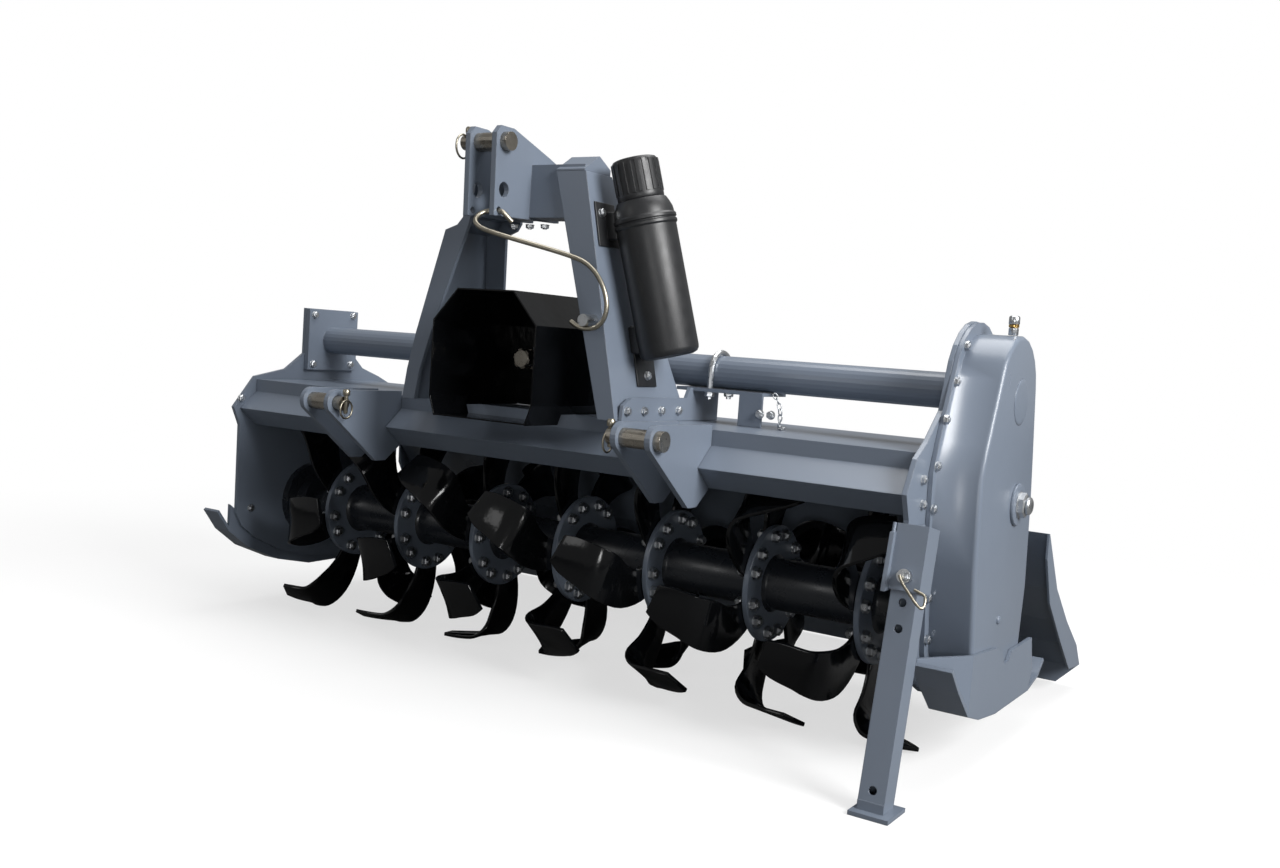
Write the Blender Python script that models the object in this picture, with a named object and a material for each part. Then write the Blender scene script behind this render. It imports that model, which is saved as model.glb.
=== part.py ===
import bpy
import bmesh
import math
from mathutils import Matrix, Vector

for leftover in list(bpy.data.objects):
    bpy.data.objects.remove(leftover, do_unlink=True)

# Frame: X across the machine (chain case at +X), Y to the rear, Z up, floor at 0, metres
ROTOR_RADIUS = 0.222
AXIS_Z = ROTOR_RADIUS
SIDE_X = 0.722                 # inner face of each side plate, from the middle
SIDE_T = 0.008
GAP = 0.0003                   # seated pieces stand this far apart
CENTRE_X = -0.02865            # moves the whole machine so that its box is centred
CENTRE_Y = -0.13064

# Rotor
FLANGE_COUNT = 7
FLANGE_FIRST_X = -0.560
FLANGE_PITCH = 0.197
FLANGE_R = 0.100
FLANGE_T = 0.010
ROTOR_TUBE_R = 0.044
ROTOR_STUB_R = 0.024
ROTOR_TUBE_LOW_X = -0.640
ROTOR_TUBE_HIGH_X = 0.690
TINES_PER_FLANGE = 6
TINE_STEP_DEG = 14.0           # each flange is turned this much against the one before
TINE_FIRST_DEG = -39.0
TINE_T = 0.007

# Half-shaft tubes and gearbox
SHAFT_Y = 0.034
SHAFT_Z = 0.573
SHAFT_R = 0.029
GEARBOX_HALF = 0.085
PTO_R = 0.0175

# Deck and front beam, (y, z)
DECK_T = 0.004
DECK_FRONT_Y = -0.161
DECK_TOP_Z = 0.484
BEAM_RIDGE = (-0.197, 0.424)
BEAM_STEP_Z = 0.459
BEAM_FOOT = (-0.161, 0.394)
BEAM_T = 0.006
HINGE_Y = 0.262
HINGE_Z = 0.405

# Three-point hitch
HITCH_HALF = 0.3415            # lower hitch pins, half their spread
HITCH_PIN_Y = -0.324
HITCH_PIN_Z = 0.470
HITCH_PIN_R = 0.0130
SLEEVE_R = 0.0152
MAST_HEIGHT = 0.457
TOP_PIN_Y = -0.305
TOP_PIN_Z = HITCH_PIN_Z + MAST_HEIGHT
TOP_PIN_R = 0.0125

# Parking stand
STAND_X = 0.7590
STAND_Y = -0.2440
STAND_Z = 0.342
STAND_LEAN_DEG = 11.5
SLEEVE_OUT = 0.0460
SLEEVE_WALL = 0.0035
LEG_OUT = 0.0382
LEG_WALL = 0.0030


def paint(name, rgb, roughness, metallic):
    material = bpy.data.materials.new(name)
    material.use_nodes = True
    shader = material.node_tree.nodes["Principled BSDF"]
    shader.inputs["Base Color"].default_value = (*rgb, 1.0)
    shader.inputs["Roughness"].default_value = roughness
    shader.inputs["Metallic"].default_value = metallic
    return material


GREY_PAINT = paint("blue_grey_paint", (0.085, 0.105, 0.125), 0.4, 0.0)
BLACK_PAINT = paint("gloss_black_paint", (0.008, 0.008, 0.009), 0.22, 0.0)
BLACK_PLASTIC = paint("black_plastic", (0.012, 0.012, 0.013), 0.45, 0.0)
ZINC = paint("zinc_plate", (0.55, 0.54, 0.50), 0.35, 1.0)
IRON = paint("painted_casting", (0.075, 0.092, 0.110), 0.6, 0.0)

machine = bpy.data.objects.new("machine", None)
machine.location = (CENTRE_X, CENTRE_Y, 0.0)
bpy.context.scene.collection.objects.link(machine)


def finish(name, bm, material, origin=(0.0, 0.0, 0.0)):
    """Turn a bmesh built in machine coordinates into an object whose origin is at origin."""
    bmesh.ops.translate(bm, verts=bm.verts, vec=-Vector(origin))
    bmesh.ops.recalc_face_normals(bm, faces=bm.faces)
    mesh = bpy.data.meshes.new(name)
    bm.to_mesh(mesh)
    bm.free()
    mesh.materials.append(material)
    obj = bpy.data.objects.new(name, mesh)
    obj.location = origin
    obj.parent = machine
    bpy.context.scene.collection.objects.link(obj)
    return obj


def smooth(obj, degrees=35.0):
    obj.data.shade_smooth()
    obj.data.set_sharp_from_angle(angle=math.radians(degrees))
    return obj


def combine(target, others, operation):
    """Boolean the other objects into or out of the target, then drop them."""
    bpy.context.view_layer.update()
    for other in others:
        modifier = target.modifiers.new(operation, "BOOLEAN")
        modifier.operation = operation
        modifier.solver = "EXACT"
        modifier.object = other
        bpy.context.view_layer.objects.active = target
        bpy.ops.object.modifier_apply(modifier=modifier.name)
        bpy.data.objects.remove(other, do_unlink=True)
    return target


def fuse(target, *others):
    return combine(target, others, "UNION")


def cut(target, *others):
    return combine(target, others, "DIFFERENCE")


def prism_mesh(outline, low, high, axis="X"):
    """Extrude a flat outline: (y, z) along X, (x, z) along Y, (x, y) along Z."""
    order = {"X": lambda u, v: (low, u, v),
             "Y": lambda u, v: (u, low, v),
             "Z": lambda u, v: (u, v, low)}[axis]
    along = {"X": (1, 0, 0), "Y": (0, 1, 0), "Z": (0, 0, 1)}[axis]
    bm = bmesh.new()
    face = bm.faces.new([bm.verts.new(order(u, v)) for u, v in outline])
    side = bmesh.ops.extrude_face_region(bm, geom=[face])
    moved = [item for item in side["geom"] if isinstance(item, bmesh.types.BMVert)]
    bmesh.ops.translate(bm, verts=moved, vec=Vector(along) * (high - low))
    bm.normal_update()
    bmesh.ops.triangulate(bm, faces=[f for f in bm.faces if len(f.verts) > 4], ngon_method="EAR_CLIP")
    return bm


def prism(name, outline, low, high, material, axis="X", origin=(0.0, 0.0, 0.0)):
    return finish(name, prism_mesh(outline, low, high, axis), material, origin)


def box(name, x, y, z, material):
    return prism(name, [(x[0], y[0]), (x[1], y[0]), (x[1], y[1]), (x[0], y[1])], z[0], z[1], material, "Z")


def rod(name, start, end, radius, material, sides=24, end_radius=None, origin=(0.0, 0.0, 0.0)):
    """A round bar, or a cone, from start to end."""
    start = Vector(start)
    end = Vector(end)
    reach = end - start
    bm = bmesh.new()
    turn = Vector((0, 0, 1)).rotation_difference(reach.normalized()).to_matrix().to_4x4()
    bmesh.ops.create_cone(bm, cap_ends=True, segments=sides, radius1=radius,
                          radius2=radius if end_radius is None else end_radius, depth=reach.length,
                          matrix=Matrix.Translation((start + end) / 2) @ turn)
    return smooth(finish(name, bm, material, origin))


def ribbon(path, thickness):
    """Outline of a bent sheet: the path, and the path offset to its left by the thickness."""
    points = [Vector(p) for p in path]
    steps = [(b - a).normalized() for a, b in zip(points, points[1:])]
    sides = [Vector((-s.y, s.x)) for s in steps]
    offset = []
    for index, point in enumerate(points):
        before = sides[max(index - 1, 0)]
        after = sides[min(index, len(sides) - 1)]
        bisector = (before + after).normalized()
        offset.append(point + bisector * (thickness / bisector.dot(after)))
    return [tuple(p) for p in points] + [tuple(p) for p in reversed(offset)]


def arc(centre, radius, start_deg, end_deg, steps):
    return [(centre[0] + radius * math.cos(math.radians(start_deg + (end_deg - start_deg) * i / steps)),
             centre[1] + radius * math.sin(math.radians(start_deg + (end_deg - start_deg) * i / steps)))
            for i in range(steps + 1)]


def bent_bar(name, points, radius, material, sides=2):
    """A round bar bent through the points, its ends closed."""
    curve = bpy.data.curves.new(name, "CURVE")
    curve.dimensions = "3D"
    curve.bevel_depth = radius
    curve.bevel_resolution = sides
    curve.use_fill_caps = True
    spline = curve.splines.new("POLY")
    spline.points.add(len(points) - 1)
    for place, point in zip(spline.points, points):
        place.co = (*point, 1.0)
    guide = bpy.data.objects.new(name + "_guide", curve)
    bpy.context.scene.collection.objects.link(guide)
    bpy.context.view_layer.update()
    mesh = bpy.data.meshes.new_from_object(guide.evaluated_get(bpy.context.evaluated_depsgraph_get()))
    bm = bmesh.new()
    bm.from_mesh(mesh)
    bmesh.ops.remove_doubles(bm, verts=bm.verts, dist=0.00001)
    bpy.data.objects.remove(guide, do_unlink=True)
    bpy.data.meshes.remove(mesh)
    return smooth(finish(name, bm, material))


# Side plates: one profile each, (y, z) from the tube seat forward and round
TUBE_SEAT = 0.070
SKID_LINE = [(-0.197, 0.2035), (-0.182, 0.176), (-0.145, 0.148), (-0.076, 0.113), (0.000, 0.094),
             (0.055, 0.086), (0.190, 0.092), (0.250, 0.130)]
REAR_LINE = [(0.262, 0.200), (0.262, 0.380)]
LEFT_TOP = [(0.225, 0.4795), (0.190, 0.495), (0.138, 0.513), (0.107, 0.542), (0.104, 0.640),
            (-0.036, 0.640), (-0.036, 0.542), (-0.084, 0.507), (-0.165, 0.490)]
PLATE_TIP = [(-0.2155, 0.426), (-0.1985, 0.3885)]
left_plate = prism("side_plate_left", SKID_LINE + REAR_LINE + LEFT_TOP + PLATE_TIP,
                   -SIDE_X - SIDE_T, -SIDE_X, GREY_PAINT)

CASE_TOP_R = 0.093
CASE_LIP = 0.019
TOP_LOBE = arc((SHAFT_Y, SHAFT_Z), CASE_TOP_R + CASE_LIP, 5, 155, 10)
RIGHT_FRONT = [(-0.093, 0.545), (-0.146, 0.500), (-0.185, 0.476), (-0.205, 0.443)]
RIGHT_TOP = [(0.225, 0.4795), (0.175, 0.500)] + TOP_LOBE + RIGHT_FRONT
right_plate = prism("side_plate_right", SKID_LINE + REAR_LINE + RIGHT_TOP + PLATE_TIP,
                    SIDE_X, SIDE_X + SIDE_T, GREY_PAINT)

# Deck: flat top, rear slope and hinge lip, between the side plates
DECK_PATH = [(DECK_FRONT_Y + BEAM_T + GAP, DECK_TOP_Z - DECK_T), (0.170, DECK_TOP_Z - DECK_T),
             (0.236, 0.430), (0.246, 0.395)]
deck = prism("deck", ribbon(DECK_PATH, DECK_T), -SIDE_X + GAP, SIDE_X - GAP, GREY_PAINT)

# Front beam: folded plate with a ridge, in front of the deck's edge
BEAM_PATH = [(DECK_FRONT_Y + BEAM_T, BEAM_FOOT[1]), (BEAM_RIDGE[0] + BEAM_T, BEAM_RIDGE[1]),
             (DECK_FRONT_Y + BEAM_T, BEAM_STEP_Z - 0.003), (DECK_FRONT_Y + BEAM_T, DECK_TOP_Z)]
beam = prism("front_beam", ribbon(BEAM_PATH, BEAM_T), -SIDE_X + GAP, SIDE_X - GAP, GREY_PAINT)

# Chain case: pressed cover with a lip, open towards the side plate
CASE_DEPTH = 0.075
CASE_WALL = 0.004
CASE_LIP_T = 0.007
CASE_OUTLINE = [(-0.098, 0.500), (-0.116, 0.453), (-0.109, 0.3145), (-0.088, 0.185), (-0.060, 0.135),
                (0.000, 0.108), (0.060, 0.103), (0.120, 0.118), (0.160, 0.160), (0.170, 0.259),
                (0.158, 0.400), (0.145, 0.480)]
case_x = SIDE_X + SIDE_T + GAP
case_line = CASE_OUTLINE + arc((SHAFT_Y, SHAFT_Z), CASE_TOP_R, 8, 165, 10)


def grow(outline, distance):
    """Offset a closed, counter-clockwise outline outward."""
    grown = []
    for index, point in enumerate(outline):
        before = Vector(outline[index - 1])
        here = Vector(point)
        after = Vector(outline[(index + 1) % len(outline)])
        first = (here - before).normalized()
        second = (after - here).normalized()
        normal = (Vector((first.y, -first.x)) + Vector((second.y, -second.x))).normalized()
        grown.append(tuple(here + normal * distance))
    return grown


chain_case = prism("chain_case", case_line, case_x, case_x + CASE_DEPTH, GREY_PAINT)
case_rim = prism("case_rim", grow(case_line, CASE_LIP - 0.001), case_x, case_x + CASE_LIP_T, GREY_PAINT)
fuse(chain_case, case_rim)
case_core = prism("case_core", grow(case_line, -CASE_WALL), case_x - 0.01, case_x + CASE_DEPTH - CASE_WALL,
                  GREY_PAINT)
cut(chain_case, case_core)

# Plug boss and breather on the chain case
PLUG_Y = 0.070
PLUG_Z = 0.402
plug_x = case_x + CASE_DEPTH + GAP
BOSS_R = 0.034
BOSS_T = 0.006
HEX_R = 0.021
PLUG_OUT = 0.026
plug = rod("tensioner_plug", (plug_x, PLUG_Y, PLUG_Z), (plug_x + BOSS_T, PLUG_Y, PLUG_Z), BOSS_R,
           GREY_PAINT, 24)
plug_hex = rod("plug_hex", (plug_x + BOSS_T - 0.002, PLUG_Y, PLUG_Z), (plug_x + PLUG_OUT, PLUG_Y, PLUG_Z),
               HEX_R, ZINC, 6)
fuse(plug, plug_hex)
breather_z = SHAFT_Z + CASE_TOP_R
breather_x = case_x + CASE_DEPTH * 0.75
BREATHER_R = 0.0085
BREATHER_HEIGHT = 0.031
breather = rod("breather", (breather_x, SHAFT_Y, breather_z + GAP),
               (breather_x, SHAFT_Y, breather_z + BREATHER_HEIGHT), BREATHER_R, ZINC, 12)

# Half-shaft tubes with their end flanges
GEARBOX_Y = (-0.060, 0.120)
left_tube = rod("shaft_tube_left", (-SIDE_X + GAP, SHAFT_Y, SHAFT_Z),
                (-GEARBOX_HALF - GAP, SHAFT_Y, SHAFT_Z), SHAFT_R, GREY_PAINT)
seat = prism("tube_seat", [(SHAFT_Y - TUBE_SEAT, SHAFT_Z - 0.066), (SHAFT_Y + TUBE_SEAT, SHAFT_Z - 0.066),
                           (SHAFT_Y + TUBE_SEAT, SHAFT_Z + 0.066), (SHAFT_Y - TUBE_SEAT, SHAFT_Z + 0.066)],
             -SIDE_X + GAP, -SIDE_X + 0.012, GREY_PAINT)
fuse(left_tube, seat)
right_tube = rod("shaft_tube_right", (GEARBOX_HALF + GAP, SHAFT_Y, SHAFT_Z),
                 (SIDE_X - GAP, SHAFT_Y, SHAFT_Z), SHAFT_R, GREY_PAINT)

# Gearbox: block with a sloped top, tube collars and the input neck
GEARBOX_TOP = SHAFT_Z + 0.085
gearbox_z = DECK_TOP_Z + GAP
SLOPE = 0.030
NECK_LENGTH = 0.045
NECK_R = 0.045
PTO_LENGTH = 0.085
front_y, rear_y = GEARBOX_Y
GEARBOX_OUTLINE = [(front_y, gearbox_z), (rear_y, gearbox_z), (rear_y, GEARBOX_TOP - SLOPE),
                   (rear_y - SLOPE, GEARBOX_TOP), (front_y + SLOPE, GEARBOX_TOP),
                   (front_y, GEARBOX_TOP - SLOPE)]
gearbox = prism("gearbox", GEARBOX_OUTLINE, -GEARBOX_HALF, GEARBOX_HALF, IRON)
neck = rod("neck", (0, front_y + 0.01, SHAFT_Z), (0, front_y - NECK_LENGTH, SHAFT_Z), NECK_R, IRON, 24)
fuse(gearbox, neck)
PTO_START_Y = front_y - NECK_LENGTH - GAP
pto = rod("input_shaft", (0, PTO_START_Y, SHAFT_Z), (0, PTO_START_Y - PTO_LENGTH, SHAFT_Z), PTO_R,
          ZINC, 12, origin=(0.0, PTO_START_Y, SHAFT_Z))

# Lower hitch lugs: four plates on the beam, each carrying one end of a pin
LUG_T = 0.010
LUG_HALF_GAP = 0.026
LUG_NOSE_R = 0.024
LUG_FOOT_Z = 0.361
lug_rear = [(-0.197, LUG_FOOT_Z), (DECK_FRONT_Y - 0.001, 0.387),
            (DECK_FRONT_Y - 0.001, BEAM_FOOT[1] - 0.003),
            (BEAM_RIDGE[0] - 0.0045, BEAM_RIDGE[1]), (DECK_FRONT_Y - 0.0012, BEAM_STEP_Z),
            (DECK_FRONT_Y - 0.0012, 0.492)]
LUG_OUTLINE = [(-0.222, LUG_FOOT_Z)] + lug_rear + arc((HITCH_PIN_Y, HITCH_PIN_Z), LUG_NOSE_R, 80, 215, 9)
hole_clear = 0.0003
lug_rows = [("lug_left_outer", -HITCH_HALF - LUG_HALF_GAP - LUG_T),
            ("lug_left_inner", -HITCH_HALF + LUG_HALF_GAP),
            ("lug_right_inner", HITCH_HALF - LUG_HALF_GAP - LUG_T),
            ("lug_right_outer", HITCH_HALF + LUG_HALF_GAP)]
for lug_name, lug_x in lug_rows:
    lug = prism(lug_name, LUG_OUTLINE, lug_x, lug_x + LUG_T, GREY_PAINT)
    bore = rod("bore", (lug_x - 0.01, HITCH_PIN_Y, HITCH_PIN_Z), (lug_x + 0.02, HITCH_PIN_Y, HITCH_PIN_Z),
               HITCH_PIN_R + hole_clear, GREY_PAINT)
    cut(lug, bore)

# Hitch pins: head, shank, spacer sleeve on the shank
PIN_TAIL = 0.017
# rows: side, middle of the lugs, thickness of the head
for side_name, middle, head_t in (("left", -HITCH_HALF, 0.004), ("right", HITCH_HALF, 0.012)):
    reach = LUG_HALF_GAP + LUG_T
    head_side = 1 if middle > 0 else -1
    outer = middle + head_side * (reach + head_t)
    inner = middle - head_side * (reach + PIN_TAIL)
    pin = rod("hitch_pin_" + side_name, (inner, HITCH_PIN_Y, HITCH_PIN_Z),
              (outer, HITCH_PIN_Y, HITCH_PIN_Z), HITCH_PIN_R, ZINC, origin=(middle, HITCH_PIN_Y, HITCH_PIN_Z))
    spacer = rod("spacer", (middle - LUG_HALF_GAP + GAP, HITCH_PIN_Y, HITCH_PIN_Z),
                 (middle + LUG_HALF_GAP - GAP, HITCH_PIN_Y, HITCH_PIN_Z), SLEEVE_R, ZINC)
    head = rod("head", (outer - head_side * (head_t - GAP), HITCH_PIN_Y, HITCH_PIN_Z),
               (outer, HITCH_PIN_Y, HITCH_PIN_Z), HITCH_PIN_R + 0.003, ZINC)
    fuse(pin, spacer, head)

# Mast legs: folded plate with a front face, a side face and a rear flange turned inward
FOOT_Z = DECK_TOP_Z + GAP
MAST_Y = -0.2405
MAST_T = 0.007
FLANGE_REACH = 0.050
HEAD_LOW_Z = TOP_PIN_Z - 0.115
# rows: z, front face inner x, ridge x, rear y of the side face
RIGHT_LEG = [(FOOT_Z + 0.0017, 0.2060, 0.2400, -0.0150), (TOP_PIN_Z - 0.039, 0.0905, 0.1510, -0.1660)]
LEFT_LEG = [(FOOT_Z + 0.0017, 0.1995, 0.2290, -0.0150), (0.5400, 0.1900, 0.2205, -0.0300),
            (0.6080, 0.1680, 0.2032, -0.0550), (TOP_PIN_Z - 0.137, 0.0976, 0.1467, -0.1280),
            (TOP_PIN_Z - 0.128, 0.0945, 0.1200, -0.1320), (HEAD_LOW_Z, 0.0905, 0.1080, -0.1360),
            (TOP_PIN_Z - 0.039, 0.0800, 0.1040, -0.1660)]


def mast_leg(name, hand, rows):
    """Loft of channel sections from the foot to the head."""
    bm = bmesh.new()
    rings = []
    for z, inner, ridge, rear in rows:
        flange = max(ridge - FLANGE_REACH, MAST_T * 2)
        section = [(inner, MAST_Y), (ridge, MAST_Y), (ridge, rear), (flange, rear), (flange, rear - MAST_T),
                   (ridge - MAST_T, rear - MAST_T), (ridge - MAST_T, MAST_Y + MAST_T),
                   (inner, MAST_Y + MAST_T)]
        rings.append([bm.verts.new((hand * x, y, z)) for x, y in section])
    for lower, upper in zip(rings, rings[1:]):
        for index in range(len(lower)):
            following = (index + 1) % len(lower)
            bm.faces.new((lower[index], lower[following], upper[following], upper[index]))
    for ring in (rings[0], rings[-1]):
        bm.faces.new(ring)
    bm.normal_update()
    bmesh.ops.triangulate(bm, faces=bm.faces[:], quad_method="FIXED", ngon_method="EAR_CLIP")
    return finish(name, bm, GREY_PAINT)


mast_leg("mast_leg_left", -1, LEFT_LEG)
mast_leg("mast_leg_right", 1, RIGHT_LEG)


def side_face(rows, z):
    """Ridge x and rear y of a mast leg at height z."""
    for (low_z, _, low_x, low_y), (high_z, _, high_x, high_y) in zip(rows, rows[1:]):
        share = (z - low_z) / (high_z - low_z)
        if z <= high_z:
            break
    return low_x + (high_x - low_x) * share, low_y + (high_y - low_y) * share


def ridge_x(z):
    return side_face(RIGHT_LEG, z)[0]


# Mast head: two top-link plates on a cross channel between the legs, and the right leg's cap
HEAD_T = 0.010
HEAD_HALF_GAP = 0.023
HEAD_REAR_Y = -0.150
HEAD_OUTLINE = [(TOP_PIN_Y - 0.020, TOP_PIN_Z - 0.122), (HEAD_REAR_Y, HEAD_LOW_Z),
                (HEAD_REAR_Y, TOP_PIN_Z - 0.022), (-0.185, TOP_PIN_Z - 0.009),
                (TOP_PIN_Y + 0.020, TOP_PIN_Z + 0.024),
                (TOP_PIN_Y - 0.013, TOP_PIN_Z + 0.024), (TOP_PIN_Y - 0.024, TOP_PIN_Z + 0.011)]
CROSS_Y = (MAST_Y + MAST_T + GAP, -0.182)
CROSS_WALL = 0.008
CROSS_TOP_Z = TOP_PIN_Z - 0.027
leg_top_z = RIGHT_LEG[-1][0]
seat_x = MAST_T + GAP
# the channel's ends follow the side faces of the legs
cross_left = [(-side_face(LEFT_LEG, z)[0] + seat_x, z) for z in (HEAD_LOW_Z, leg_top_z)]
cross_right = [(ridge_x(z) - seat_x, z) for z in (HEAD_LOW_Z, leg_top_z)]
mast_head = prism("mast_head", [cross_left[0], *cross_right, (cross_right[1][0], CROSS_TOP_Z),
                                (cross_left[1][0], CROSS_TOP_Z), cross_left[1]],
                  CROSS_Y[0], CROSS_Y[1], GREY_PAINT, "Y")
channel_room = box("channel_room", (-0.3, 0.3), (CROSS_Y[0] + CROSS_WALL, 0.0),
                   (HEAD_LOW_Z + CROSS_WALL, CROSS_TOP_Z - CROSS_WALL), GREY_PAINT)
cut(mast_head, channel_room)
CAP_TOP = (-0.2006, TOP_PIN_Z - 0.010)
cap_low_z = leg_top_z + GAP
CAP_OUTLINE = [(MAST_Y, cap_low_z), (-0.1668, cap_low_z), (-0.1668, TOP_PIN_Z - 0.028), CAP_TOP,
               (MAST_Y, cap_low_z + 0.003)]
leg_cap = prism("leg_cap", CAP_OUTLINE, RIGHT_LEG[-1][1], RIGHT_LEG[-1][2] - 0.003, GREY_PAINT)
fuse(mast_head, leg_cap)
for plate_x in (HEAD_HALF_GAP, -HEAD_HALF_GAP - HEAD_T):
    cheek = prism("cheek", HEAD_OUTLINE, plate_x, plate_x + HEAD_T, GREY_PAINT)
    fuse(mast_head, cheek)
HOOK_HOLE_Y = TOP_PIN_Y - 0.008
HOOK_HOLE_Z = TOP_PIN_Z - 0.112
HOOK_HOLE_R = 0.0055
# rows: y, z, radius
HEAD_HOLES = [(TOP_PIN_Y, TOP_PIN_Z, TOP_PIN_R + hole_clear),
              (TOP_PIN_Y + 0.002, TOP_PIN_Z - 0.078, TOP_PIN_R),
              (HOOK_HOLE_Y, HOOK_HOLE_Z, HOOK_HOLE_R)]
head_reach = HEAD_HALF_GAP + HEAD_T
bore_reach = head_reach * 1.5
for hole_y, hole_z, hole_r in HEAD_HOLES:
    bore = rod("bore", (-bore_reach, hole_y, hole_z), (bore_reach, hole_y, hole_z), hole_r, GREY_PAINT, 16)
    cut(mast_head, bore)
TOP_TAIL = 0.022
TOP_HEAD_T = 0.012
COLLAR = 0.003
top_pin = rod("top_link_pin", (-head_reach - TOP_TAIL, TOP_PIN_Y, TOP_PIN_Z),
              (head_reach + TOP_HEAD_T, TOP_PIN_Y, TOP_PIN_Z), TOP_PIN_R, ZINC, 16,
              origin=(0.0, TOP_PIN_Y, TOP_PIN_Z))
top_spacer = rod("top_spacer", (-HEAD_HALF_GAP + GAP, TOP_PIN_Y, TOP_PIN_Z),
                 (HEAD_HALF_GAP - GAP, TOP_PIN_Y, TOP_PIN_Z), TOP_PIN_R + COLLAR, ZINC, 16)
top_head = rod("top_head", (head_reach + GAP, TOP_PIN_Y, TOP_PIN_Z),
               (head_reach + TOP_HEAD_T, TOP_PIN_Y, TOP_PIN_Z), TOP_PIN_R + COLLAR, ZINC, 16)
fuse(top_pin, top_spacer, top_head)

# Mast feet: upright plate beside each leg, with the saddle under the half-shaft tube
FOOT_T = 0.007
SADDLE_Z = SHAFT_Z - SHAFT_R - GAP
SADDLE_T = 0.006
SADDLE_HALF = 0.045
SADDLE_REACH = 0.144
TAB_WIDTH = 0.044
U_BOLT_R = 0.005
u_bolt_y = SHAFT_R + U_BOLT_R + GAP * 2
FOOT_OUTLINE = [(-0.232, FOOT_Z), (0.082, FOOT_Z), (0.082, SADDLE_Z - 0.001), (-0.020, SADDLE_Z - 0.001),
                (-0.030, FOOT_Z + 0.040), (-0.205, FOOT_Z + 0.040), (-0.228, FOOT_Z + 0.028)]
# rows: side, hand, outer side of the leg at the deck
for side_name, hand, leg_x in (("left", -1, LEFT_LEG[0][2]), ("right", 1, RIGHT_LEG[0][2])):
    near = hand * (leg_x + GAP)
    far = hand * (leg_x + FOOT_T)
    saddle_end = hand * (leg_x + SADDLE_REACH)
    foot = prism("mast_foot_" + side_name, FOOT_OUTLINE, min(near, far), max(near, far), GREY_PAINT)
    saddle = box("saddle", sorted((hand * (leg_x - 0.027), saddle_end)),
                 (SHAFT_Y - SADDLE_HALF, SHAFT_Y + SADDLE_HALF), (SADDLE_Z - SADDLE_T, SADDLE_Z),
                 GREY_PAINT)
    tab = box("tab", sorted((saddle_end - hand * TAB_WIDTH, saddle_end)),
              (SHAFT_Y - SADDLE_HALF, SHAFT_Y - SADDLE_HALF + SADDLE_T),
               (FOOT_Z, SADDLE_Z - 0.001), GREY_PAINT)
    fuse(foot, saddle, tab)
    bolt_x = hand * (leg_x + 0.035)
    loop = [(bolt_x, SHAFT_Y - u_bolt_y, SADDLE_Z + GAP)]
    loop += [(bolt_x, y, z) for y, z in arc((SHAFT_Y, SHAFT_Z), u_bolt_y, 180, 0, 12)]
    loop += [(bolt_x, SHAFT_Y + u_bolt_y, SADDLE_Z + GAP)]
    bent_bar("u_bolt_" + side_name, loop, U_BOLT_R, ZINC)

# Shield round the input shaft: eight-sided hood, open at the front and above the deck
SHIELD_HALF = 0.1100
SHIELD_TOP_HALF = 0.0600
SHIELD_T = 0.0025
SHIELD_Y = (-0.296, -0.062)
SHIELD_TOP_Z = 0.684
SHIELD_SHOULDER_Z = 0.630
SHIELD_LOW_HALF = 0.0980
SHIELD_LOW_Z = 0.467
SHIELD_HIP_Z = 0.500
SHIELD_FLOOR_Y = -0.206
shield_left = [(-SHIELD_LOW_HALF, SHIELD_LOW_Z), (-SHIELD_HALF, SHIELD_HIP_Z),
               (-SHIELD_HALF, SHIELD_SHOULDER_Z), (-SHIELD_TOP_HALF, SHIELD_TOP_Z)]
shield_line = shield_left + [(-x, z) for x, z in reversed(shield_left)]
shield = prism("input_shield", ribbon(shield_line, SHIELD_T), SHIELD_Y[0], SHIELD_Y[1], BLACK_PAINT, "Y")
floor_half = SHIELD_LOW_HALF + 0.0010
front_floor = box("front_floor", (-floor_half, floor_half), (SHIELD_Y[0], SHIELD_FLOOR_Y),
                  (SHIELD_LOW_Z, SHIELD_LOW_Z + SHIELD_T), BLACK_PAINT)
fuse(shield, front_floor)
deck_room = box("deck_room", (-SHIELD_HALF * 2, SHIELD_HALF * 2), (SHIELD_FLOOR_Y, 0.0),
                (SHIELD_LOW_Z - SHIELD_T, FOOT_Z), BLACK_PAINT)
cut(shield, deck_room)

# Document canister with its cap, leaning along the right mast leg
CAN_R = 0.0500
CAP_R = 0.0400
CAN_CLEAR = 0.0100
can_top_z = TOP_PIN_Z - 0.013
CAN_FOOT_Z = 0.594
CAN_TOP = Vector((ridge_x(can_top_z) + CAN_R + CAN_CLEAR, -0.1850, can_top_z))
CAN_FOOT = Vector((ridge_x(CAN_FOOT_Z) + CAN_R + CAN_CLEAR, -0.1410, CAN_FOOT_Z))
CAP_LENGTH = 0.068
SHOULDER_LENGTH = 0.030
can_axis = (CAN_TOP - CAN_FOOT).normalized()
can_neck = CAN_TOP - can_axis * CAP_LENGTH
can_shoulder = can_neck - can_axis * SHOULDER_LENGTH
body_length = (can_shoulder - CAN_FOOT).length


def turned(name, foot, axis, rows, material, sides=24):
    """A round solid turned about an axis; rows: distance from the foot, radius."""
    turn = Vector((0, 0, 1)).rotation_difference(axis).to_matrix()
    bm = bmesh.new()
    rings = []
    for distance, radius in rows:
        points = [Vector((radius * math.cos(math.tau * i / sides), radius * math.sin(math.tau * i / sides),
                          distance)) for i in range(sides)]
        rings.append([bm.verts.new(foot + turn @ point) for point in points])
    for lower, upper in zip(rings, rings[1:]):
        for index in range(sides):
            following = (index + 1) % sides
            bm.faces.new((lower[index], lower[following], upper[following], upper[index]))
    bm.faces.new(rings[0])
    bm.faces.new(rings[-1])
    return smooth(finish(name, bm, material))


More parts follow.
